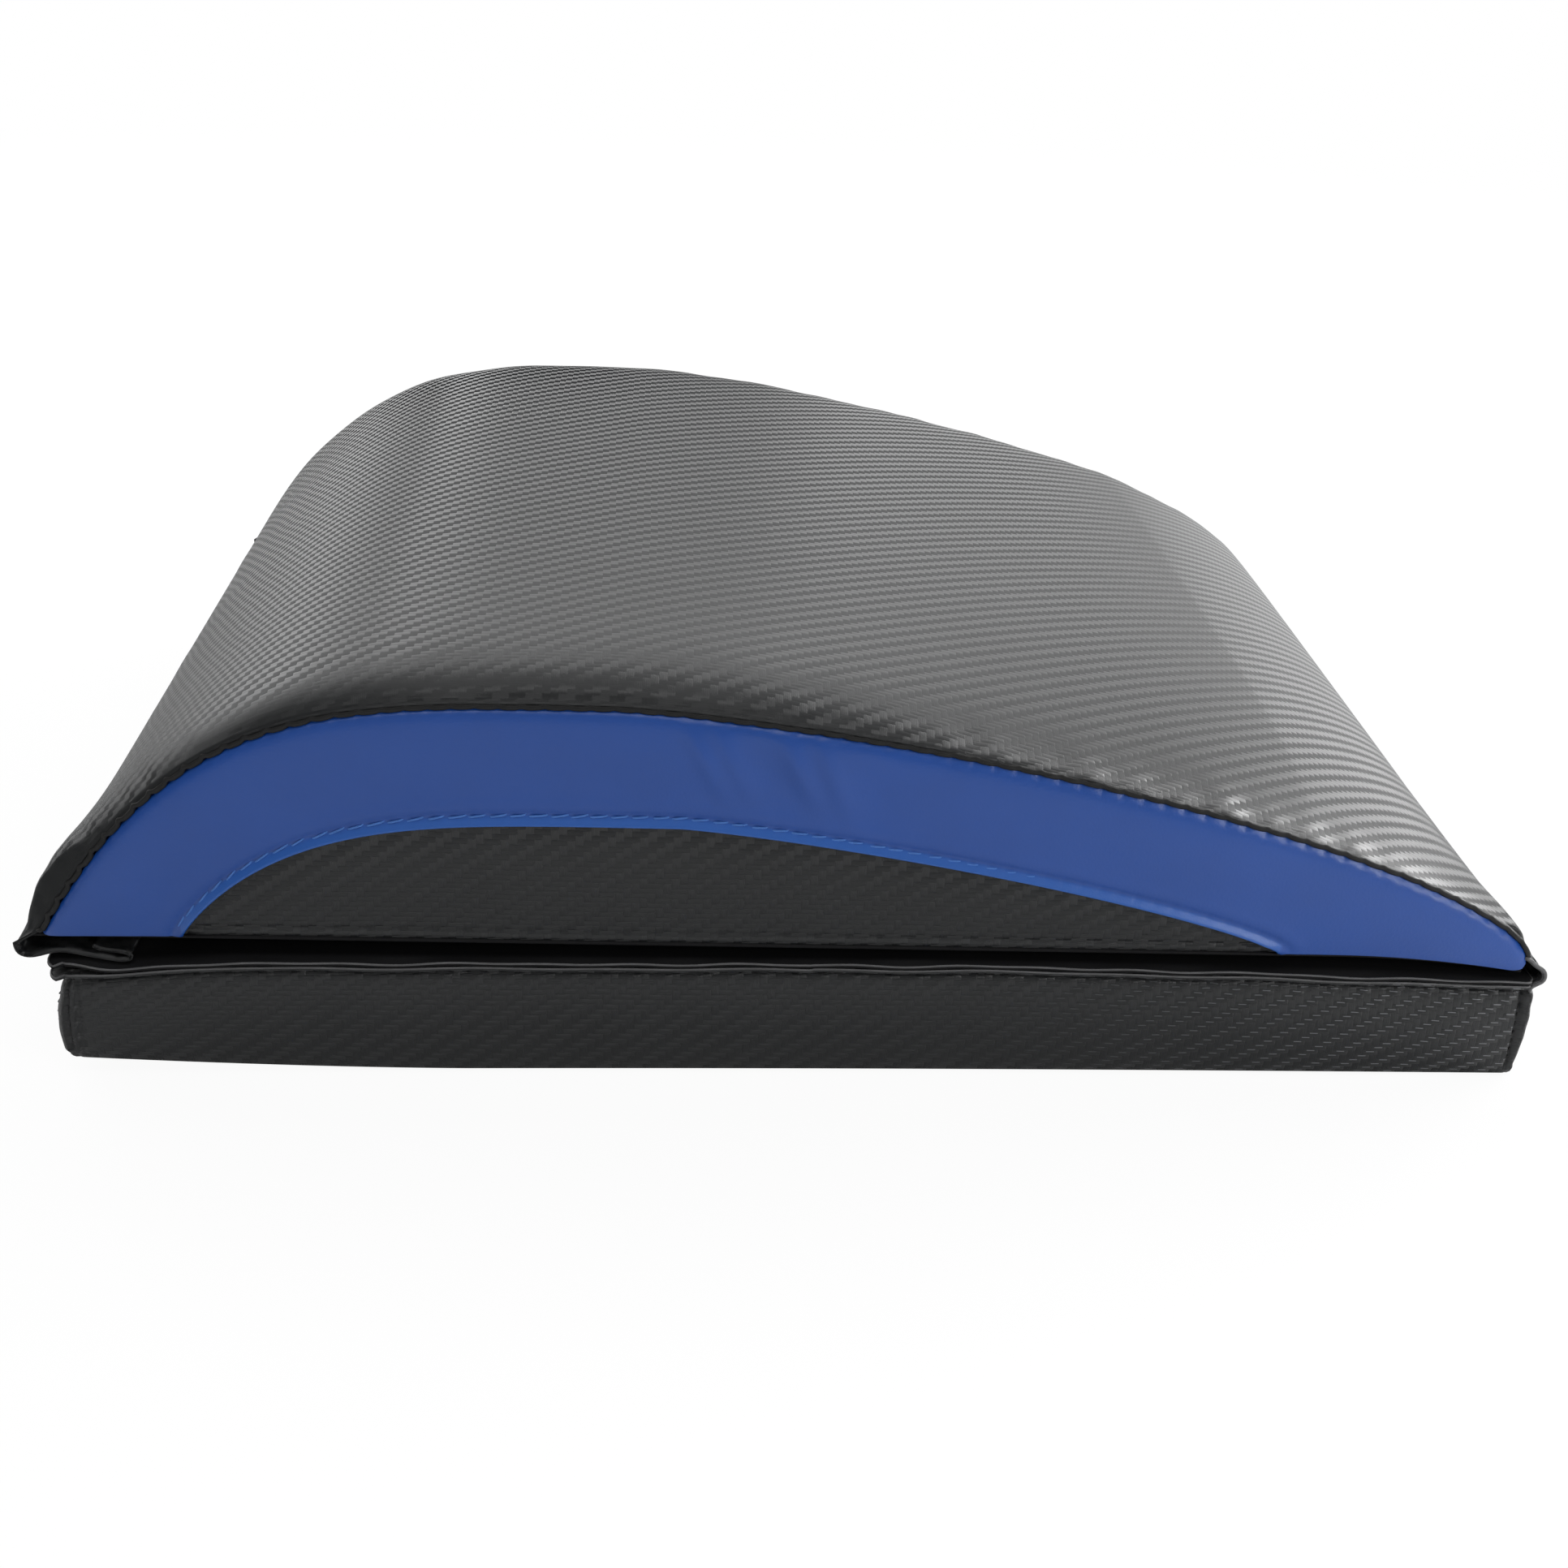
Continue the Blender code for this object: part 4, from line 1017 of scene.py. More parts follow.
class Pad:
    """The pad's loop and levels, with x from the hinge's axis and z from the floor."""

    def __init__(self, size):
        self.size = size
        self.right = -size.setback
        self.left = self.right - size.length
        self.middle = (self.left + self.right) / 2

    def bottom(self, x):
        """The floor under the pad, which lifts towards the heel as share ** 1.6."""
        size = self.size
        share = np.clip((self.left + size.heel_lift_length - x) / size.heel_lift_length, 0, None)
        return size.heel_lift * share**1.6

    def seam(self, x):
        """The seam over the floor, which drops to the thin end as share ** 1.3 and to the heel as share **
        1.5."""
        size = self.size
        thin = np.clip((x - self.right + size.thin_drop_length) / size.thin_drop_length, 0, None) ** 1.3
        heel = np.clip((self.left + size.heel_drop_length - x) / size.heel_drop_length, 0, None) ** 1.5
        return size.seam_height - size.thin_drop * thin - size.heel_drop * heel

    def loop(self, step=0.00125, inset=0.0):
        """The seam line as a rounded rectangle, anticlockwise from the middle of the front: its points,
        their outward normals and the length up to each. An inset loop has its points in step with the outer
        one."""
        size = self.size
        outer = size.corner_radius
        radius = INNER_RADIUS if inset else outer
        half_x, half_y = size.length / 2 - inset, size.width / 2 - inset
        turn = np.linspace(0, math.pi / 2, 13)[1:-1]
        corner = np.stack([np.sin(turn), 1 - np.cos(turn)], axis=1) * radius
        long_run = crowded(size.length / 2 - outer, step) * (half_x - radius) / (size.length / 2 - outer)
        end_run = crowded(size.width / 2 - outer, step) * (half_y - radius) / (size.width / 2 - outer)
        short_run = np.concatenate([-end_run[::-1], end_run[1:]])
        lower = np.stack([long_run, np.full(len(long_run), -half_y)], axis=1)
        bend = np.stack([half_x - radius + corner[:, 0], -half_y + corner[:, 1]], axis=1)
        end = np.stack([np.full(len(short_run), half_x), short_run], axis=1)
        quarter = np.concatenate([lower, bend, end])
        upper = np.concatenate([bend[::-1] * (1, -1), lower[::-1] * (1, -1)])
        right = np.concatenate([quarter, upper])
        left = right[::-1][1:-1] * (-1, 1)
        ring = np.concatenate([right, left])
        nx = np.sign(ring[:, 0]) * np.clip((np.abs(ring[:, 0]) - half_x + radius) / radius, 0, 1)
        ny = np.sign(ring[:, 1]) * np.clip((np.abs(ring[:, 1]) - half_y + radius) / radius, 0, 1)
        normal = unit(np.stack([nx, ny], axis=1))
        ring[:, 1] -= size.draw_in * normal[:, 1] * np.cos(ring[:, 0] / half_x * math.pi / 2)
        return ring, normal, run_of(ring)

    def flange(self, normal, share):
        """A share of the flange's width outwards: less at the thin end and more at the heel. A share below
        zero goes inwards, by the same all round."""
        size = self.size
        if share < 0:
            return np.full(len(normal), size.flange * share)
        thin, heel = normal[:, 0] > 0.5, normal[:, 0] < -0.5
        return (size.flange * np.where(thin, 0.7, 1.0) + 0.0025 * heel) * share

    def flange_level(self, ring, run, curl, flutter=False):
        """The seam's height with a curl at the heel, as a bell, and waves as sums of sines. The upper layer
        has finer ones too, as its flutter."""
        seam = self.seam(ring[:, 0] + self.middle)
        lift = curl * bell(ring[:, 0] + self.size.length / 2, CURL_WIDTH)
        sway = 0.0003 * waves(run, (0.061, 0.037), (0.4, 0.1))
        sway = sway + 0.00015 * waves(run, (0.024,), (0.8,)) * flutter
        return seam + lift + sway

    def pushed(self, ring, normal, out, z):
        """The loop pushed outwards and set at a height."""
        return self.placed(ring[:, 0] + out * normal[:, 0], ring[:, 1] + out * normal[:, 1], z)

    def corners(self, ring, normal):
        """Distance from each point of the loop to the nearest corner, below zero on the long sides, and
        which of the four it is."""
        size = self.size
        inset = size.corner_radius * (1 - math.sqrt(0.5))
        spots = np.array([(sx * (size.length / 2 - inset), sy * (size.width / 2 - inset))
                          for sx in (-1, 1) for sy in (-1, 1)])
        distance = np.linalg.norm(ring[:, None] - spots[None], axis=2)
        way = np.where(np.abs(normal[:, 1]) > np.abs(normal[:, 0]), -1, 1)
        return way * distance.min(axis=1), distance.argmin(axis=1)

    def placed(self, x, y, z):
        """Points of the loop's own middle set in the world."""
        return np.stack([x + self.middle + HINGE.x, y, z], axis=-1)


def shell_sheet(pad, sewing):
    """The pad's face and sides in one sheet. A row is the loop pushed out by a step and set at a level
    between the floor and the seam: rows run from the middle of the face, round the rolled edge, up the
    swelling side, into the groove of the stitches and out over the flange."""
    size, roll = pad.size, pad.size.roll_radius
    ring, normal, place = pad.loop()
    inner = pad.loop(inset=roll)[0]
    signed, corner = pad.corners(ring, normal)
    to_corner = np.abs(signed)
    heel = normal[:, 0] < -0.5
    thin = normal[:, 0] > 0.5
    x0 = ring[:, 0] + pad.middle
    floor, seam = pad.bottom(x0) + 0.0004 * bell(to_corner, 0.006) * heel, pad.seam(x0)
    pull = stitch_pull(place, sewing.flange_pitch)
    wave = waves(place, (0.083, 0.047, 0.029), (0.15, 0.6, 0.35))
    near_corner = bell(to_corner, 0.011)
    left_corner = corner < 2
    rows = []
    for share in FACE_SHARES:
        x, y = share * inner[:, 0], share * inner[:, 1]
        rows.append(pad.placed(x, y, pad.bottom(x + pad.middle)))

    def row(out, z, turned=1.0):
        """A row pushed out by a step, whose share turned of the way from the inner loop is gone."""
        plan = inner + (ring + out[:, None] * normal - inner) * turned
        rows.append(pad.placed(plan[:, 0], plan[:, 1], z))

    swollen = 0.0017 * thin + 0.0013 * (~heel & ~thin)
    heel_push = 0.0012
    foot_out = (size.heel_lean + heel_push) * heel + swollen
    for turn in np.linspace(0, math.pi / 2, ROLL_ROWS):
        row(foot_out, floor + roll * (1 - math.cos(turn)), math.sin(turn))
    for t in np.linspace(0, 1, SIDE_ROWS + 1)[1:]:
        height = roll + (seam - floor - roll - SEWING_DROP) * t
        share = height / (seam - floor)
        swell = 4 * share * (1 - share)
        bulge = np.where(heel, 0.0018, 0.0012) * swell
        lean = heel * (size.heel_lean * (1 - share) + heel_push)
        lean = lean + swollen * np.where(thin, 1 + 0.3 * share, 1 - 0.7 * share)
        below = seam - floor - height - SEWING_DROP
        pucker = -0.0005 * np.exp(-below / 0.0035) * (0.35 + pull)
        soft = 0.00035 * wave * swell
        folds = 0.0002 * near_corner * np.sin(2 * np.pi * below / 0.0062) * np.exp(-below / 0.009)
        from_seam = signed - corner_seam_place(t, left_corner)
        ridge = 0.0008 * bell(from_seam, 0.00035) - 0.0003 * bell(from_seam + 0.0011, 0.0007)
        recess = -0.0015 * bell(from_seam, 0.0005) - 0.0008 * (1 - share) * thin
        row(bulge + lean + pucker + soft + folds + np.where(left_corner, ridge, recess), floor + height)
    top = pad.flange_level(ring, place, LOWER_CURL)
    for out, up in LOWER_LAYER:
        row(pad.flange(normal, out) - 0.0002 * pull * (up < -0.3), top + up * MILLIMETRE)
    points = np.array(rows)
    edge_row = len(FACE_SHARES)
    # A painted highlight mark: it rises towards the thin end and is cut off past the corner seams, and the side
    # vinyl paints it onto the float crests as glints.
    painted_glint = np.broadcast_to(smooth((x0 + 0.15) / 0.13) * 0.8 + 0.05, points.shape[:2]).copy()
    painted_glint[:edge_row] = 0
    painted_glint *= smooth(-(signed - corner_seam_place(0.5, left_corner)) / 0.001)
    run = run_of(points[edge_row:, 0][:, 1:])[:, None]
    on_long = np.abs(normal[:, 1]) > np.abs(normal[:, 0])
    flat = points[..., :2] * (1, -1)
    flat[..., 0] -= HINGE.x + pad.middle
    side = np.where(on_long[:, None], ring * (1, 0) - np.sign(normal) * (0, 1) * np.abs(inner),
                    ring * (0, -1) + np.sign(normal) * (1, 0) * np.abs(inner))
    outward = np.where(on_long[:, None], np.sign(normal) * (0, -1), np.sign(normal) * (1, 0))
    flat[edge_row:] = side[None] + outward[None] * run[..., None]
    uv = np.concatenate([flat, flat[:, :1]], axis=1)
    return points, uv, painted_glint


def panel_sheet(pad):
    """The crowned panel over the pad, z = seam + crown * (1 - share ** 3), out to the upper layer of the
    flange, whose edge turns down."""
    ring, normal, place = pad.loop()
    curl = UPPER_CURL * bell(ring[:, 0] + pad.size.length / 2, CURL_WIDTH)
    rows = []
    for share in (*np.linspace(0.02, 0.9, 24), *np.linspace(0.92, 1, 7)):
        x, y = share * ring[:, 0], share * ring[:, 1]
        slack = 0.0004 * waves(x + 0.5 * y, (0.087, 0.053), (0.3, 0.7)) * (1 - share**2)
        crown = pad.size.crown * (1 - share**3)
        z = pad.seam(x + pad.middle) + 2.6 * MILLIMETRE + crown + slack + curl * share**8
        rows.append(pad.placed(x, y, z))
    top = pad.flange_level(ring, place, UPPER_CURL, flutter=True)
    for out, up in UPPER_LAYER:
        rows.append(pad.pushed(ring, normal, pad.flange(normal, out), top + up * MILLIMETRE))
    points = np.array(rows)
    closed = np.concatenate([points, points[:, :1]], axis=1)
    return points, closed[..., :2]


def seam_path(pad, out, drop):
    """The loop pushed out and set under the seam, closed, with its outward normals."""
    ring, normal, _ = pad.loop(0.004)
    closed, facing = np.concatenate([ring, ring[:1]]), np.concatenate([normal, normal[:1]])
    z = pad.seam(closed[:, 0] + pad.middle) - drop + 0.0009 * bell(closed[:, 0] + pad.size.length / 2, 0.006)
    return pad.pushed(closed, facing, out, z), np.concatenate([facing, 0 * facing[:, :1]], axis=1)


def cord_sheet(path, radius):
    """A thin closed cord round the pad: a circle of six points carried along the path."""
    turn = np.linspace(0, 2 * np.pi, 6, endpoint=False)
    tangent = unit(np.roll(path, -1, axis=0) - np.roll(path, 1, axis=0))
    up = np.tile([0.0, 0.0, 1.0], (len(path), 1))
    aside = unit(np.cross(tangent, up))
    ring = np.cos(turn)[:, None, None] * up + np.sin(turn)[:, None, None] * aside
    points = path[None] + radius * ring
    closed = np.concatenate([points, points[:1]])
    uv = np.zeros((len(closed), len(path) + 1, 2))
    uv[..., 0] = run_of(np.concatenate([path, path[:1]]))[None]
    return closed, uv


def edge_sheet(points, radius):
    """The bound edge of a sheet that ends there: a tube of eight points carried along the sheet's first
    column and drawn to nothing at both ends."""
    path = points[:, 0]
    tangent = unit(np.gradient(path, axis=0))
    aside = np.tile([0.0, 1.0, 0.0], (len(path), 1))
    up = unit(np.cross(tangent, aside))
    thick = radius * np.clip(np.minimum(np.arange(len(path)), np.arange(len(path))[::-1]) / 3, 0, 1) ** 0.5
    turn = np.linspace(0, 2 * np.pi, 9)
    ring = np.cos(turn)[:, None, None] * up + np.sin(turn)[:, None, None] * aside
    tube = path[None] + thick[None, :, None] * ring
    return tube, paired(run_of(path)[None], turn[:, None] * radius)


def strip_sheet(size):
    """The hinge's cloth: the loop's course carried across the mat, with sums of sines along its fold that
    fade as a bell of the distance from it."""
    course = spaced(rounded(LOOP_COURSE, 3), 60)
    half = size.width / 2 - 0.0012
    y = np.linspace(-half, half, 190)
    loose = bell(course[:, None, 1] - 0.0005, 0.003)
    x = course[:, None, 0] + 0.0004 * waves(y[None], (0.091, 0.042), (0.1, 0.5)) * loose
    z = course[:, None, 1] + 0.0003 * waves(y[None], (0.067, 0.029), (0.7, 0.2)) * loose
    x, grid_y, z = np.broadcast_arrays(x, y[None], z)
    points = np.stack([x, grid_y, z], axis=-1) + np.array(HINGE)
    return points, paired(run_of(course)[:, None], y[None])


# Operators


def props(context):
    """The sizes of the hump, pad and sewing, and the finishes."""
    scene = context.scene
    return scene.abmat_hump, scene.abmat_pad, scene.abmat_sewing, scene.abmat_look


class ABMAT_OT_stage(bpy.types.Operator):
    """Floor, soft lights, world and the camera at the photograph's angle"""

    bl_idname = "abmat.stage"
    bl_label = "Stage"

    def execute(self, context):
        make_floor()
        make_lights()
        make_world(context.scene)
        make_camera(context.scene)
        context.scene.view_settings.view_transform = "Standard"
        return {"FINISHED"}


def make_floor():
    """A wide pale floor that shows white to the camera and keeps a soft shadow."""
    half = 6.0
    corners = [(sx * half, sy * half, -0.00002) for sx, sy in ((-1, -1), (1, -1), (1, 1), (-1, 1))]
    mesh = bpy.data.meshes.new("floor")
    mesh.from_pydata(corners, [], [(0, 1, 2, 3)])
    floor = bpy.data.objects.new("floor", mesh)
    bpy.context.scene.collection.objects.link(floor)
    material = bpy.data.materials.new("pale_floor")
    material.use_nodes = True
    graph = Graph(material.node_tree)
    graph.tree.nodes.clear()
    matt = graph.node("ShaderNodeBsdfDiffuse", Color=(0.82, 0.82, 0.82))
    glow = graph.node("ShaderNodeEmission", Color=(1, 1, 1), Strength=1.0)
    path = graph.node("ShaderNodeLightPath").outputs
    seen = graph.math("MAXIMUM", path["Is Camera Ray"], path["Is Transmission Ray"])
    distance = graph.make("ShaderNodeVectorMath", {0: graph.place()}, operation="LENGTH").outputs["Value"]
    whiter = graph.node("ShaderNodeMapRange", Value=distance, From_Min=0.3, From_Max=1.6, To_Min=0.94,
                        To_Max=1.0)
    share = graph.math("MULTIPLY", seen, whiter.outputs[0])
    graph.node("ShaderNodeOutputMaterial", Surface=graph.shaders(share, matt, glow))
    mesh.materials.append(material)


LAMPS = (
    # name, place, aim, size across and deep, watts
    ("backdrop", (0.45, 1.35, 1.25), (0.0, 0.0, 0.05), (2.6, 1.5), 27.0),
    ("low_left", (-0.8, 1.35, 0.45), (-0.1, 0.0, 0.06), (1.1, 0.6), 2.6),
    ("low_right", (0.75, 1.45, 0.45), (0.1, 0.0, 0.06), (1.1, 0.6), 4.0),
    ("left_side", (-1.15, 0.8, 0.95), (-0.1, 0.0, 0.05), (1.5, 1.1), 17.0),
    ("right_side", (1.35, 0.5, 0.6), (0.05, 0.0, 0.05), (1.0, 0.8), 29.0),
    ("overhead", (-0.1, -0.55, 1.3), (0.0, -0.1, 0.05), (1.1, 0.5), 6.0),
    ("right_front", (0.66, -0.6, 0.3), (0.16, -0.15, 0.03), (0.22, 0.22), 2.0),
    ("front_fill", (-0.3, -1.6, 0.6), (0.0, 0.0, 0.05), (1.4, 1.0), 1.6),
)


def make_lights():
    """A soft rectangular lamp for each row of the table, turned to its aim."""
    for name, place, aim, (across, deep), watts in LAMPS:
        lamp = bpy.data.lights.new(name, "AREA")
        lamp.shape = "RECTANGLE"
        lamp.size, lamp.size_y, lamp.energy = across, deep, watts
        obj = bpy.data.objects.new(name, lamp)
        bpy.context.scene.collection.objects.link(obj)
        obj.location = place
        obj.rotation_euler = (Vector(aim) - Vector(place)).to_track_quat("-Z", "Y").to_euler()


def make_world(scene):
    """An even pale surround, white where the camera looks past the floor."""
    world = bpy.data.worlds.new("surround")
    world.use_nodes = True
    scene.world = world
    graph = Graph(world.node_tree)
    graph.tree.nodes.clear()
    even = graph.node("ShaderNodeBackground", Color=(1, 1, 1), Strength=0.2)
    white = graph.node("ShaderNodeBackground", Color=(1, 1, 1), Strength=1.0)
    path = graph.node("ShaderNodeLightPath").outputs
    graph.node("ShaderNodeOutputWorld", Surface=graph.shaders(path["Is Camera Ray"], even, white))


CAMERA_PLACE = (-0.03364, -0.56609, 0.291)
CAMERA_YAW = math.radians(3.862)
CAMERA_PITCH = math.radians(26.392)
CAMERA_ROLL = math.radians(-2.382)
CAMERA_LENS = 43.94


def make_camera(scene):
    """The photograph's camera: its axes come from yaw, downward pitch and roll."""
    level_share = math.cos(CAMERA_PITCH)
    ahead = Vector((math.sin(CAMERA_YAW) * level_share, math.cos(CAMERA_YAW) * level_share,
                    -math.sin(CAMERA_PITCH)))
    right = Vector((math.cos(CAMERA_YAW), -math.sin(CAMERA_YAW), 0))
    down = ahead.cross(right)
    level = math.cos(CAMERA_ROLL) * right + math.sin(CAMERA_ROLL) * down
    drop = -math.sin(CAMERA_ROLL) * right + math.cos(CAMERA_ROLL) * down
    data = bpy.data.cameras.new("camera")
    data.lens = CAMERA_LENS
    data.sensor_width = 36.0
    data.clip_start, data.clip_end = 0.02, 40
    camera = bpy.data.objects.new("camera", data)
    scene.collection.objects.link(camera)
    axes = Matrix((level, -drop, -ahead)).transposed().to_4x4()
    camera.matrix_world = Matrix.Translation(CAMERA_PLACE) @ axes
    scene.camera = camera


class ABMAT_OT_hump_cover(bpy.types.Operator):
    """Top cover with its closure flap, over the foam crescent"""

    bl_idname = "abmat.hump_cover"
    bl_label = "Hump cover"

    def execute(self, context):
        size, _, _, look = props(context)
        points, uv, marks = cover_sheet(Hump(size))
        mesh = sheet("hump_cover", points, uv, marks=marks)
        nodes = ("hump_top_cover", "closure_flap", "hump_foam_core")
        cover = piece(mesh, "hump", woven_vinyl(look), size.vinyl, nodes)
        return {"FINISHED"}


class ABMAT_OT_side_bands(bpy.types.Operator):
    """Blue bands on both sides"""

    bl_idname = "abmat.side_bands"
    bl_label = "Side bands"

    def execute(self, context):
        size, _, sewing, look = props(context)
        points, uv, marks = band_sheet(Hump(size), sewing)
        for side, grid, facing in both_sides(points):
            mesh = sheet("side_band_" + side, grid, uv, facing, marks=marks)
            piece(mesh, "hump", blue_vinyl(look), size.vinyl, ["hump_band_" + side])
        return {"FINISHED"}


class ABMAT_OT_seam_welts(bpy.types.Operator):
    """Turned edges of the cover along both top seams"""

    bl_idname = "abmat.seam_welts"
    bl_label = "Seam welts"

    def execute(self, context):
        size, _, sewing, look = props(context)
        points, uv = welt_sheet(Hump(size), sewing)
        for side, grid, facing in both_sides(points):
            mesh = sheet("seam_welt_" + side, grid, uv, facing)
            piece(mesh, "hump", shaded_edge_vinyl(look))
        return {"FINISHED"}


class ABMAT_OT_side_inserts(bpy.types.Operator):
    """Woven segments in the middle of both sides"""

    bl_idname = "abmat.side_inserts"
    bl_label = "Side inserts"

    def execute(self, context):
        size, _, sewing, look = props(context)
        points, uv = insert_sheet(Hump(size), sewing)
        for side, grid, facing in both_sides(points):
            mesh = sheet("side_insert_" + side, grid, uv * (-facing[1], 1), facing)
            piece(mesh, "hump", side_vinyl(look), size.vinyl, ["hump_insert_" + side])
        return {"FINISHED"}


class ABMAT_OT_hump_base(bpy.types.Operator):
    """Panel under the hump"""

    bl_idname = "abmat.hump_base"
    bl_label = "Hump base"

    def execute(self, context):
        size, _, _, look = props(context)
        points, uv = base_sheet(Hump(size))
        mesh = sheet("hump_base", points, uv, (0, 0, -1))
        piece(mesh, "hump", lining_vinyl(look), size.vinyl, ["hump_base_panel"])
        return {"FINISHED"}


class ABMAT_OT_band_stitches(bpy.types.Operator):
    """Topstitches along the lower edges of both bands"""

    bl_idname = "abmat.band_stitches"
    bl_label = "Band stitches"

    def execute(self, context):
        size, _, sewing, look = props(context)
        hump = Hump(size)
        arc = spaced(hump.band_arc(size.topstitch), 300)
        arc = arc[arc[:, 1] > SIDE_FLOOR + 0.0008]
        out = hump.half_width(arc[:, 0], arc[:, 1]) + 0.0001
        path = hump.placed(np.stack([arc[:, 0], -out, arc[:, 1]], axis=1))
        for side, line, facing in both_sides(path):
            normal = np.tile(facing, (len(line), 1))
            mesh = sewn_row("band_stitches_" + side, line, normal, sewing.top_pitch, 0.92, sewing.thread * 0.72,
                            slant=-0.0003, arch=1.5, seed=3)
            piece(mesh, "hump", blue_thread(look), nodes=["band_topstitch_" + side])
        return {"FINISHED"}


class ABMAT_OT_fastening_tapes(bpy.types.Operator):
    """Finish of the hidden tapes between the flap and the base"""

    bl_idname = "abmat.fastening_tapes"
    bl_label = "Fastening tapes"

    def execute(self, context):
        look = context.scene.abmat_look
        for node in ("flap_hook_tape", "flap_loop_tape"):
            for slot in frame["nodes"][node].material_slots:
                slot.material = fastening_tape(look)
        return {"FINISHED"}


class ABMAT_OT_pad_shell(bpy.types.Operator):
    """Face and sides of the tailbone pad, over its foam"""

    bl_idname = "abmat.pad_shell"
    bl_label = "Pad shell"

    def execute(self, context):
        hump_size, size, sewing, look = props(context)
        points, uv, painted_glint = shell_sheet(Pad(size), sewing)
        mesh = sheet("pad_shell", points, uv, wrap=True, pole=True, marks={"painted_glint": painted_glint})
        nodes = ("pad_shell_cover", "pad_foam_core")
        shell = piece(mesh, "tailbone_pad", side_vinyl(look), hump_size.vinyl, nodes)
        return {"FINISHED"}


class ABMAT_OT_pad_panel(bpy.types.Operator):
    """Crowned panel of the pad and the upper layer of its flange"""

    bl_idname = "abmat.pad_panel"
    bl_label = "Pad panel"

    def execute(self, context):
        hump_size, size, _, look = props(context)
        points, uv = panel_sheet(Pad(size))
        mesh = sheet("pad_panel", points, uv, (0, 0, 1), wrap=True, pole=True)
        piece(mesh, "tailbone_pad", lining_vinyl(look), hump_size.vinyl,
              ["pad_base_panel"])
        return {"FINISHED"}


class ABMAT_OT_flange_edges(bpy.types.Operator):
    """Pale edges of the flange's two layers: partly rubbed, partly painted highlight along their top edges"""

    bl_idname = "abmat.flange_edges"
    bl_label = "Flange edges"

    def execute(self, context):
        _, size, _, look = props(context)
        pad = Pad(size)
        ring, normal, run = pad.loop()
        for name, curl, up, out in (("flange_edge_lower", LOWER_CURL, 0.95, 0.93),
                                    ("flange_edge_upper", UPPER_CURL, 2.35, 0.97)):
            level = pad.flange_level(ring, run, curl, flutter=curl == UPPER_CURL)
            path = pad.pushed(ring, normal, pad.flange(normal, out), level + up * MILLIMETRE)
            # The pale cords are partly rubbed edges, partly painted highlight along the flange's top edges.
            points, uv = cord_sheet(path, LIT_EDGE_RADIUS)
            mesh = sheet(name, points, uv, wrap=True)
            piece(mesh, "tailbone_pad", lit_rubbed_vinyl(look))
        return {"FINISHED"}


class ABMAT_OT_flange_stitches(bpy.types.Operator):
    """Stitches all round under the pad's flange"""

    bl_idname = "abmat.flange_stitches"
    bl_label = "Flange stitches"

    def execute(self, context):
        _, size, sewing, look = props(context)
        path, normal = seam_path(Pad(size), -0.0003, SEWING_DROP)
        mesh = sewn_row("flange_stitches", path, normal, sewing.flange_pitch, 0.7, sewing.thread * 0.9,
                        slant=0.0001, arch=1.3, seed=5)
        piece(mesh, "tailbone_pad", black_thread(look), nodes=["pad_flange_stitches"])
        return {"FINISHED"}


class ABMAT_OT_corner_seams(bpy.types.Operator):
    """Laddered stitches down the pad's four corners"""

    bl_idname = "abmat.corner_seams"
    bl_label = "Corner seams"

    def execute(self, context):
        _, size, sewing, look = props(context)
        pad = Pad(size)
        ring, normal, _ = pad.loop()
        points, _, _ = shell_sheet(pad, sewing)
        first = len(FACE_SHARES) + ROLL_ROWS
        sides = points[first:first + SIDE_ROWS - 2]
        signed, corner = pad.corners(ring, normal)
        level = np.linspace(0, 1, SIDE_ROWS + 1)[1:-2]
        for number, name in enumerate(("front_left", "back_left", "front_right", "back_right")):
            mine = np.where(corner == number, signed, 1.0)
            place = corner_seam_place(level, "left" in name) + 0.003 * ("left" in name)
            column = np.abs(mine[None] - place[:, None]).argmin(axis=1)
            path = spaced(sides[np.arange(len(sides)), column], 40)
            facing = np.tile([0.0, -1.0 if "front" in name else 1.0, 0.0], (len(path), 1))
            mesh = sewn_row("corner_stitches_" + name, path, facing, sewing.corner_pitch, 0.8,
                            sewing.thread * 0.8, slant=0.0005, arch=0.9, seed=7)
            piece(mesh, "tailbone_pad", black_thread(look), nodes=["pad_corner_seam_" + name])
        return {"FINISHED"}


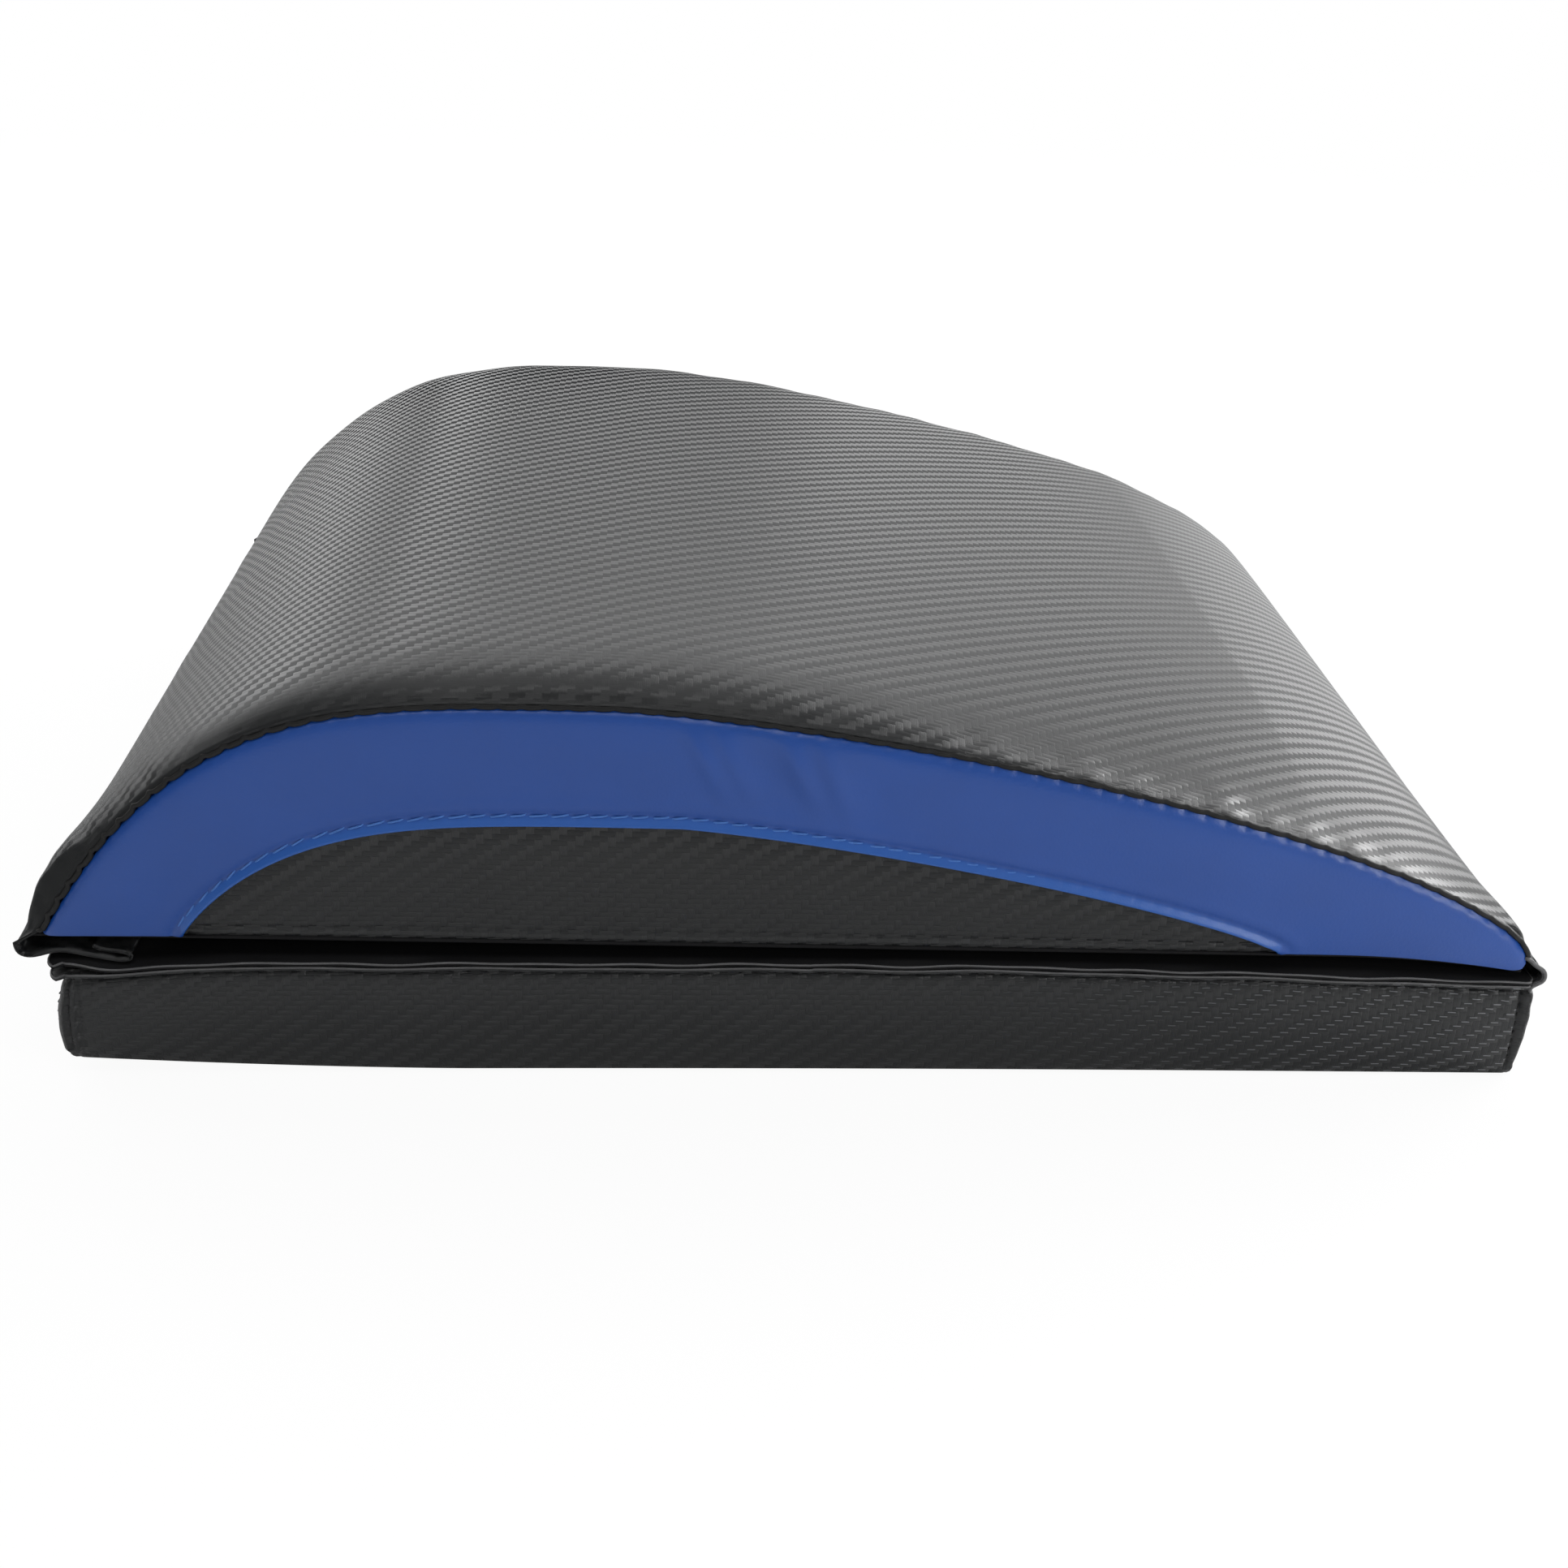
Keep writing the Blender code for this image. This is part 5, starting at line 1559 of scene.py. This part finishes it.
class ABMAT_OT_hinge(bpy.types.Operator):
    """Cloth loop of the hinge and the rows that sew it"""

    bl_idname = "abmat.hinge"
    bl_label = "Fabric hinge"

    def execute(self, context):
        size, _, sewing, look = props(context)
        points, uv = strip_sheet(size)
        mesh = sheet("hinge_loop", points, uv, (1, 0, 0))
        # The rim and the bound edges take the pale rubbed vinyl: partly wear, partly a painted highlight along
        # the hinge's edges.
        parts = [piece(mesh, None, side_vinyl(look), size.vinyl, ["hinge_strip"],
                       lit_rubbed_vinyl(look))]
        axis = np.array(HINGE)
        for side, grid in (("front", points), ("back", points[:, ::-1])):
            tube, tube_uv = edge_sheet(grid, BINDING_RADIUS)
            mesh = sheet("hinge_edge_" + side, tube, tube_uv)
            parts.append(piece(mesh, None, lit_rubbed_vinyl(look)))
        for part in parts:
            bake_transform(part)
        half = size.width / 2 - 0.006
        y = np.linspace(-half, half, 60)
        rows = (
            ("hinge_stitches_upper", "hump", (-0.0026, 0.0056), (0.6, 0.8), "hinge_stitches_hump"),
            ("hinge_stitches_lower", "tailbone_pad", (-0.0014, -0.0064), (1.0, 0.0), "hinge_stitches_pad"),
        )
        for name, body, (x, z), (nx, nz), node in rows:
            path = np.stack([np.full(len(y), x), y, np.full(len(y), z)], axis=1) + axis
            normal = np.tile([nx, 0.0, nz], (len(y), 1))
            mesh = sewn_row(name, path, normal, sewing.flange_pitch, 0.75, sewing.thread, seed=9)
            piece(mesh, body, black_thread(look), nodes=[node])
        return {"FINISHED"}


OPERATORS = (
    ABMAT_OT_stage,
    ABMAT_OT_hump_cover,
    ABMAT_OT_side_bands,
    ABMAT_OT_seam_welts,
    ABMAT_OT_side_inserts,
    ABMAT_OT_hump_base,
    ABMAT_OT_band_stitches,
    ABMAT_OT_fastening_tapes,
    ABMAT_OT_pad_shell,
    ABMAT_OT_pad_panel,
    ABMAT_OT_flange_edges,
    ABMAT_OT_flange_stitches,
    ABMAT_OT_corner_seams,
    ABMAT_OT_hinge,
)


GROUPS = {
    HumpSizes: "abmat_hump",
    PadSizes: "abmat_pad",
    SewingSizes: "abmat_sewing",
    Finishes: "abmat_look",
}


class ABMAT_PT_panel(bpy.types.Panel):
    """Builds the mat piece by piece"""

    bl_idname = "ABMAT_PT_panel"
    bl_label = "Ab Mat"
    bl_space_type = "VIEW_3D"
    bl_region_type = "UI"
    bl_category = "Ab Mat"

    def draw(self, context):
        """A button for each operator and a box for each group of sizes."""
        for operator in OPERATORS:
            self.layout.operator(operator.bl_idname)
        for group, holder in GROUPS.items():
            box = self.layout.box()
            for name in group.__annotations__:
                box.prop(getattr(context.scene, holder), name)


def register():
    """Registers the groups, the operators and the panel."""
    for group, name in GROUPS.items():
        bpy.utils.register_class(group)
        setattr(bpy.types.Scene, name, PointerProperty(type=group))
    for operator in OPERATORS:
        bpy.utils.register_class(operator)
    bpy.utils.register_class(ABMAT_PT_panel)


def unregister():
    """Takes them out again."""
    bpy.utils.unregister_class(ABMAT_PT_panel)
    for operator in reversed(OPERATORS):
        bpy.utils.unregister_class(operator)
    for group, name in GROUPS.items():
        delattr(bpy.types.Scene, name)
        bpy.utils.unregister_class(group)


def main():
    """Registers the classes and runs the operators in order."""
    register()
    for operator in OPERATORS:
        group, name = operator.bl_idname.split(".")
        getattr(getattr(bpy.ops, group), name)()


if __name__ == "__main__":
    main()
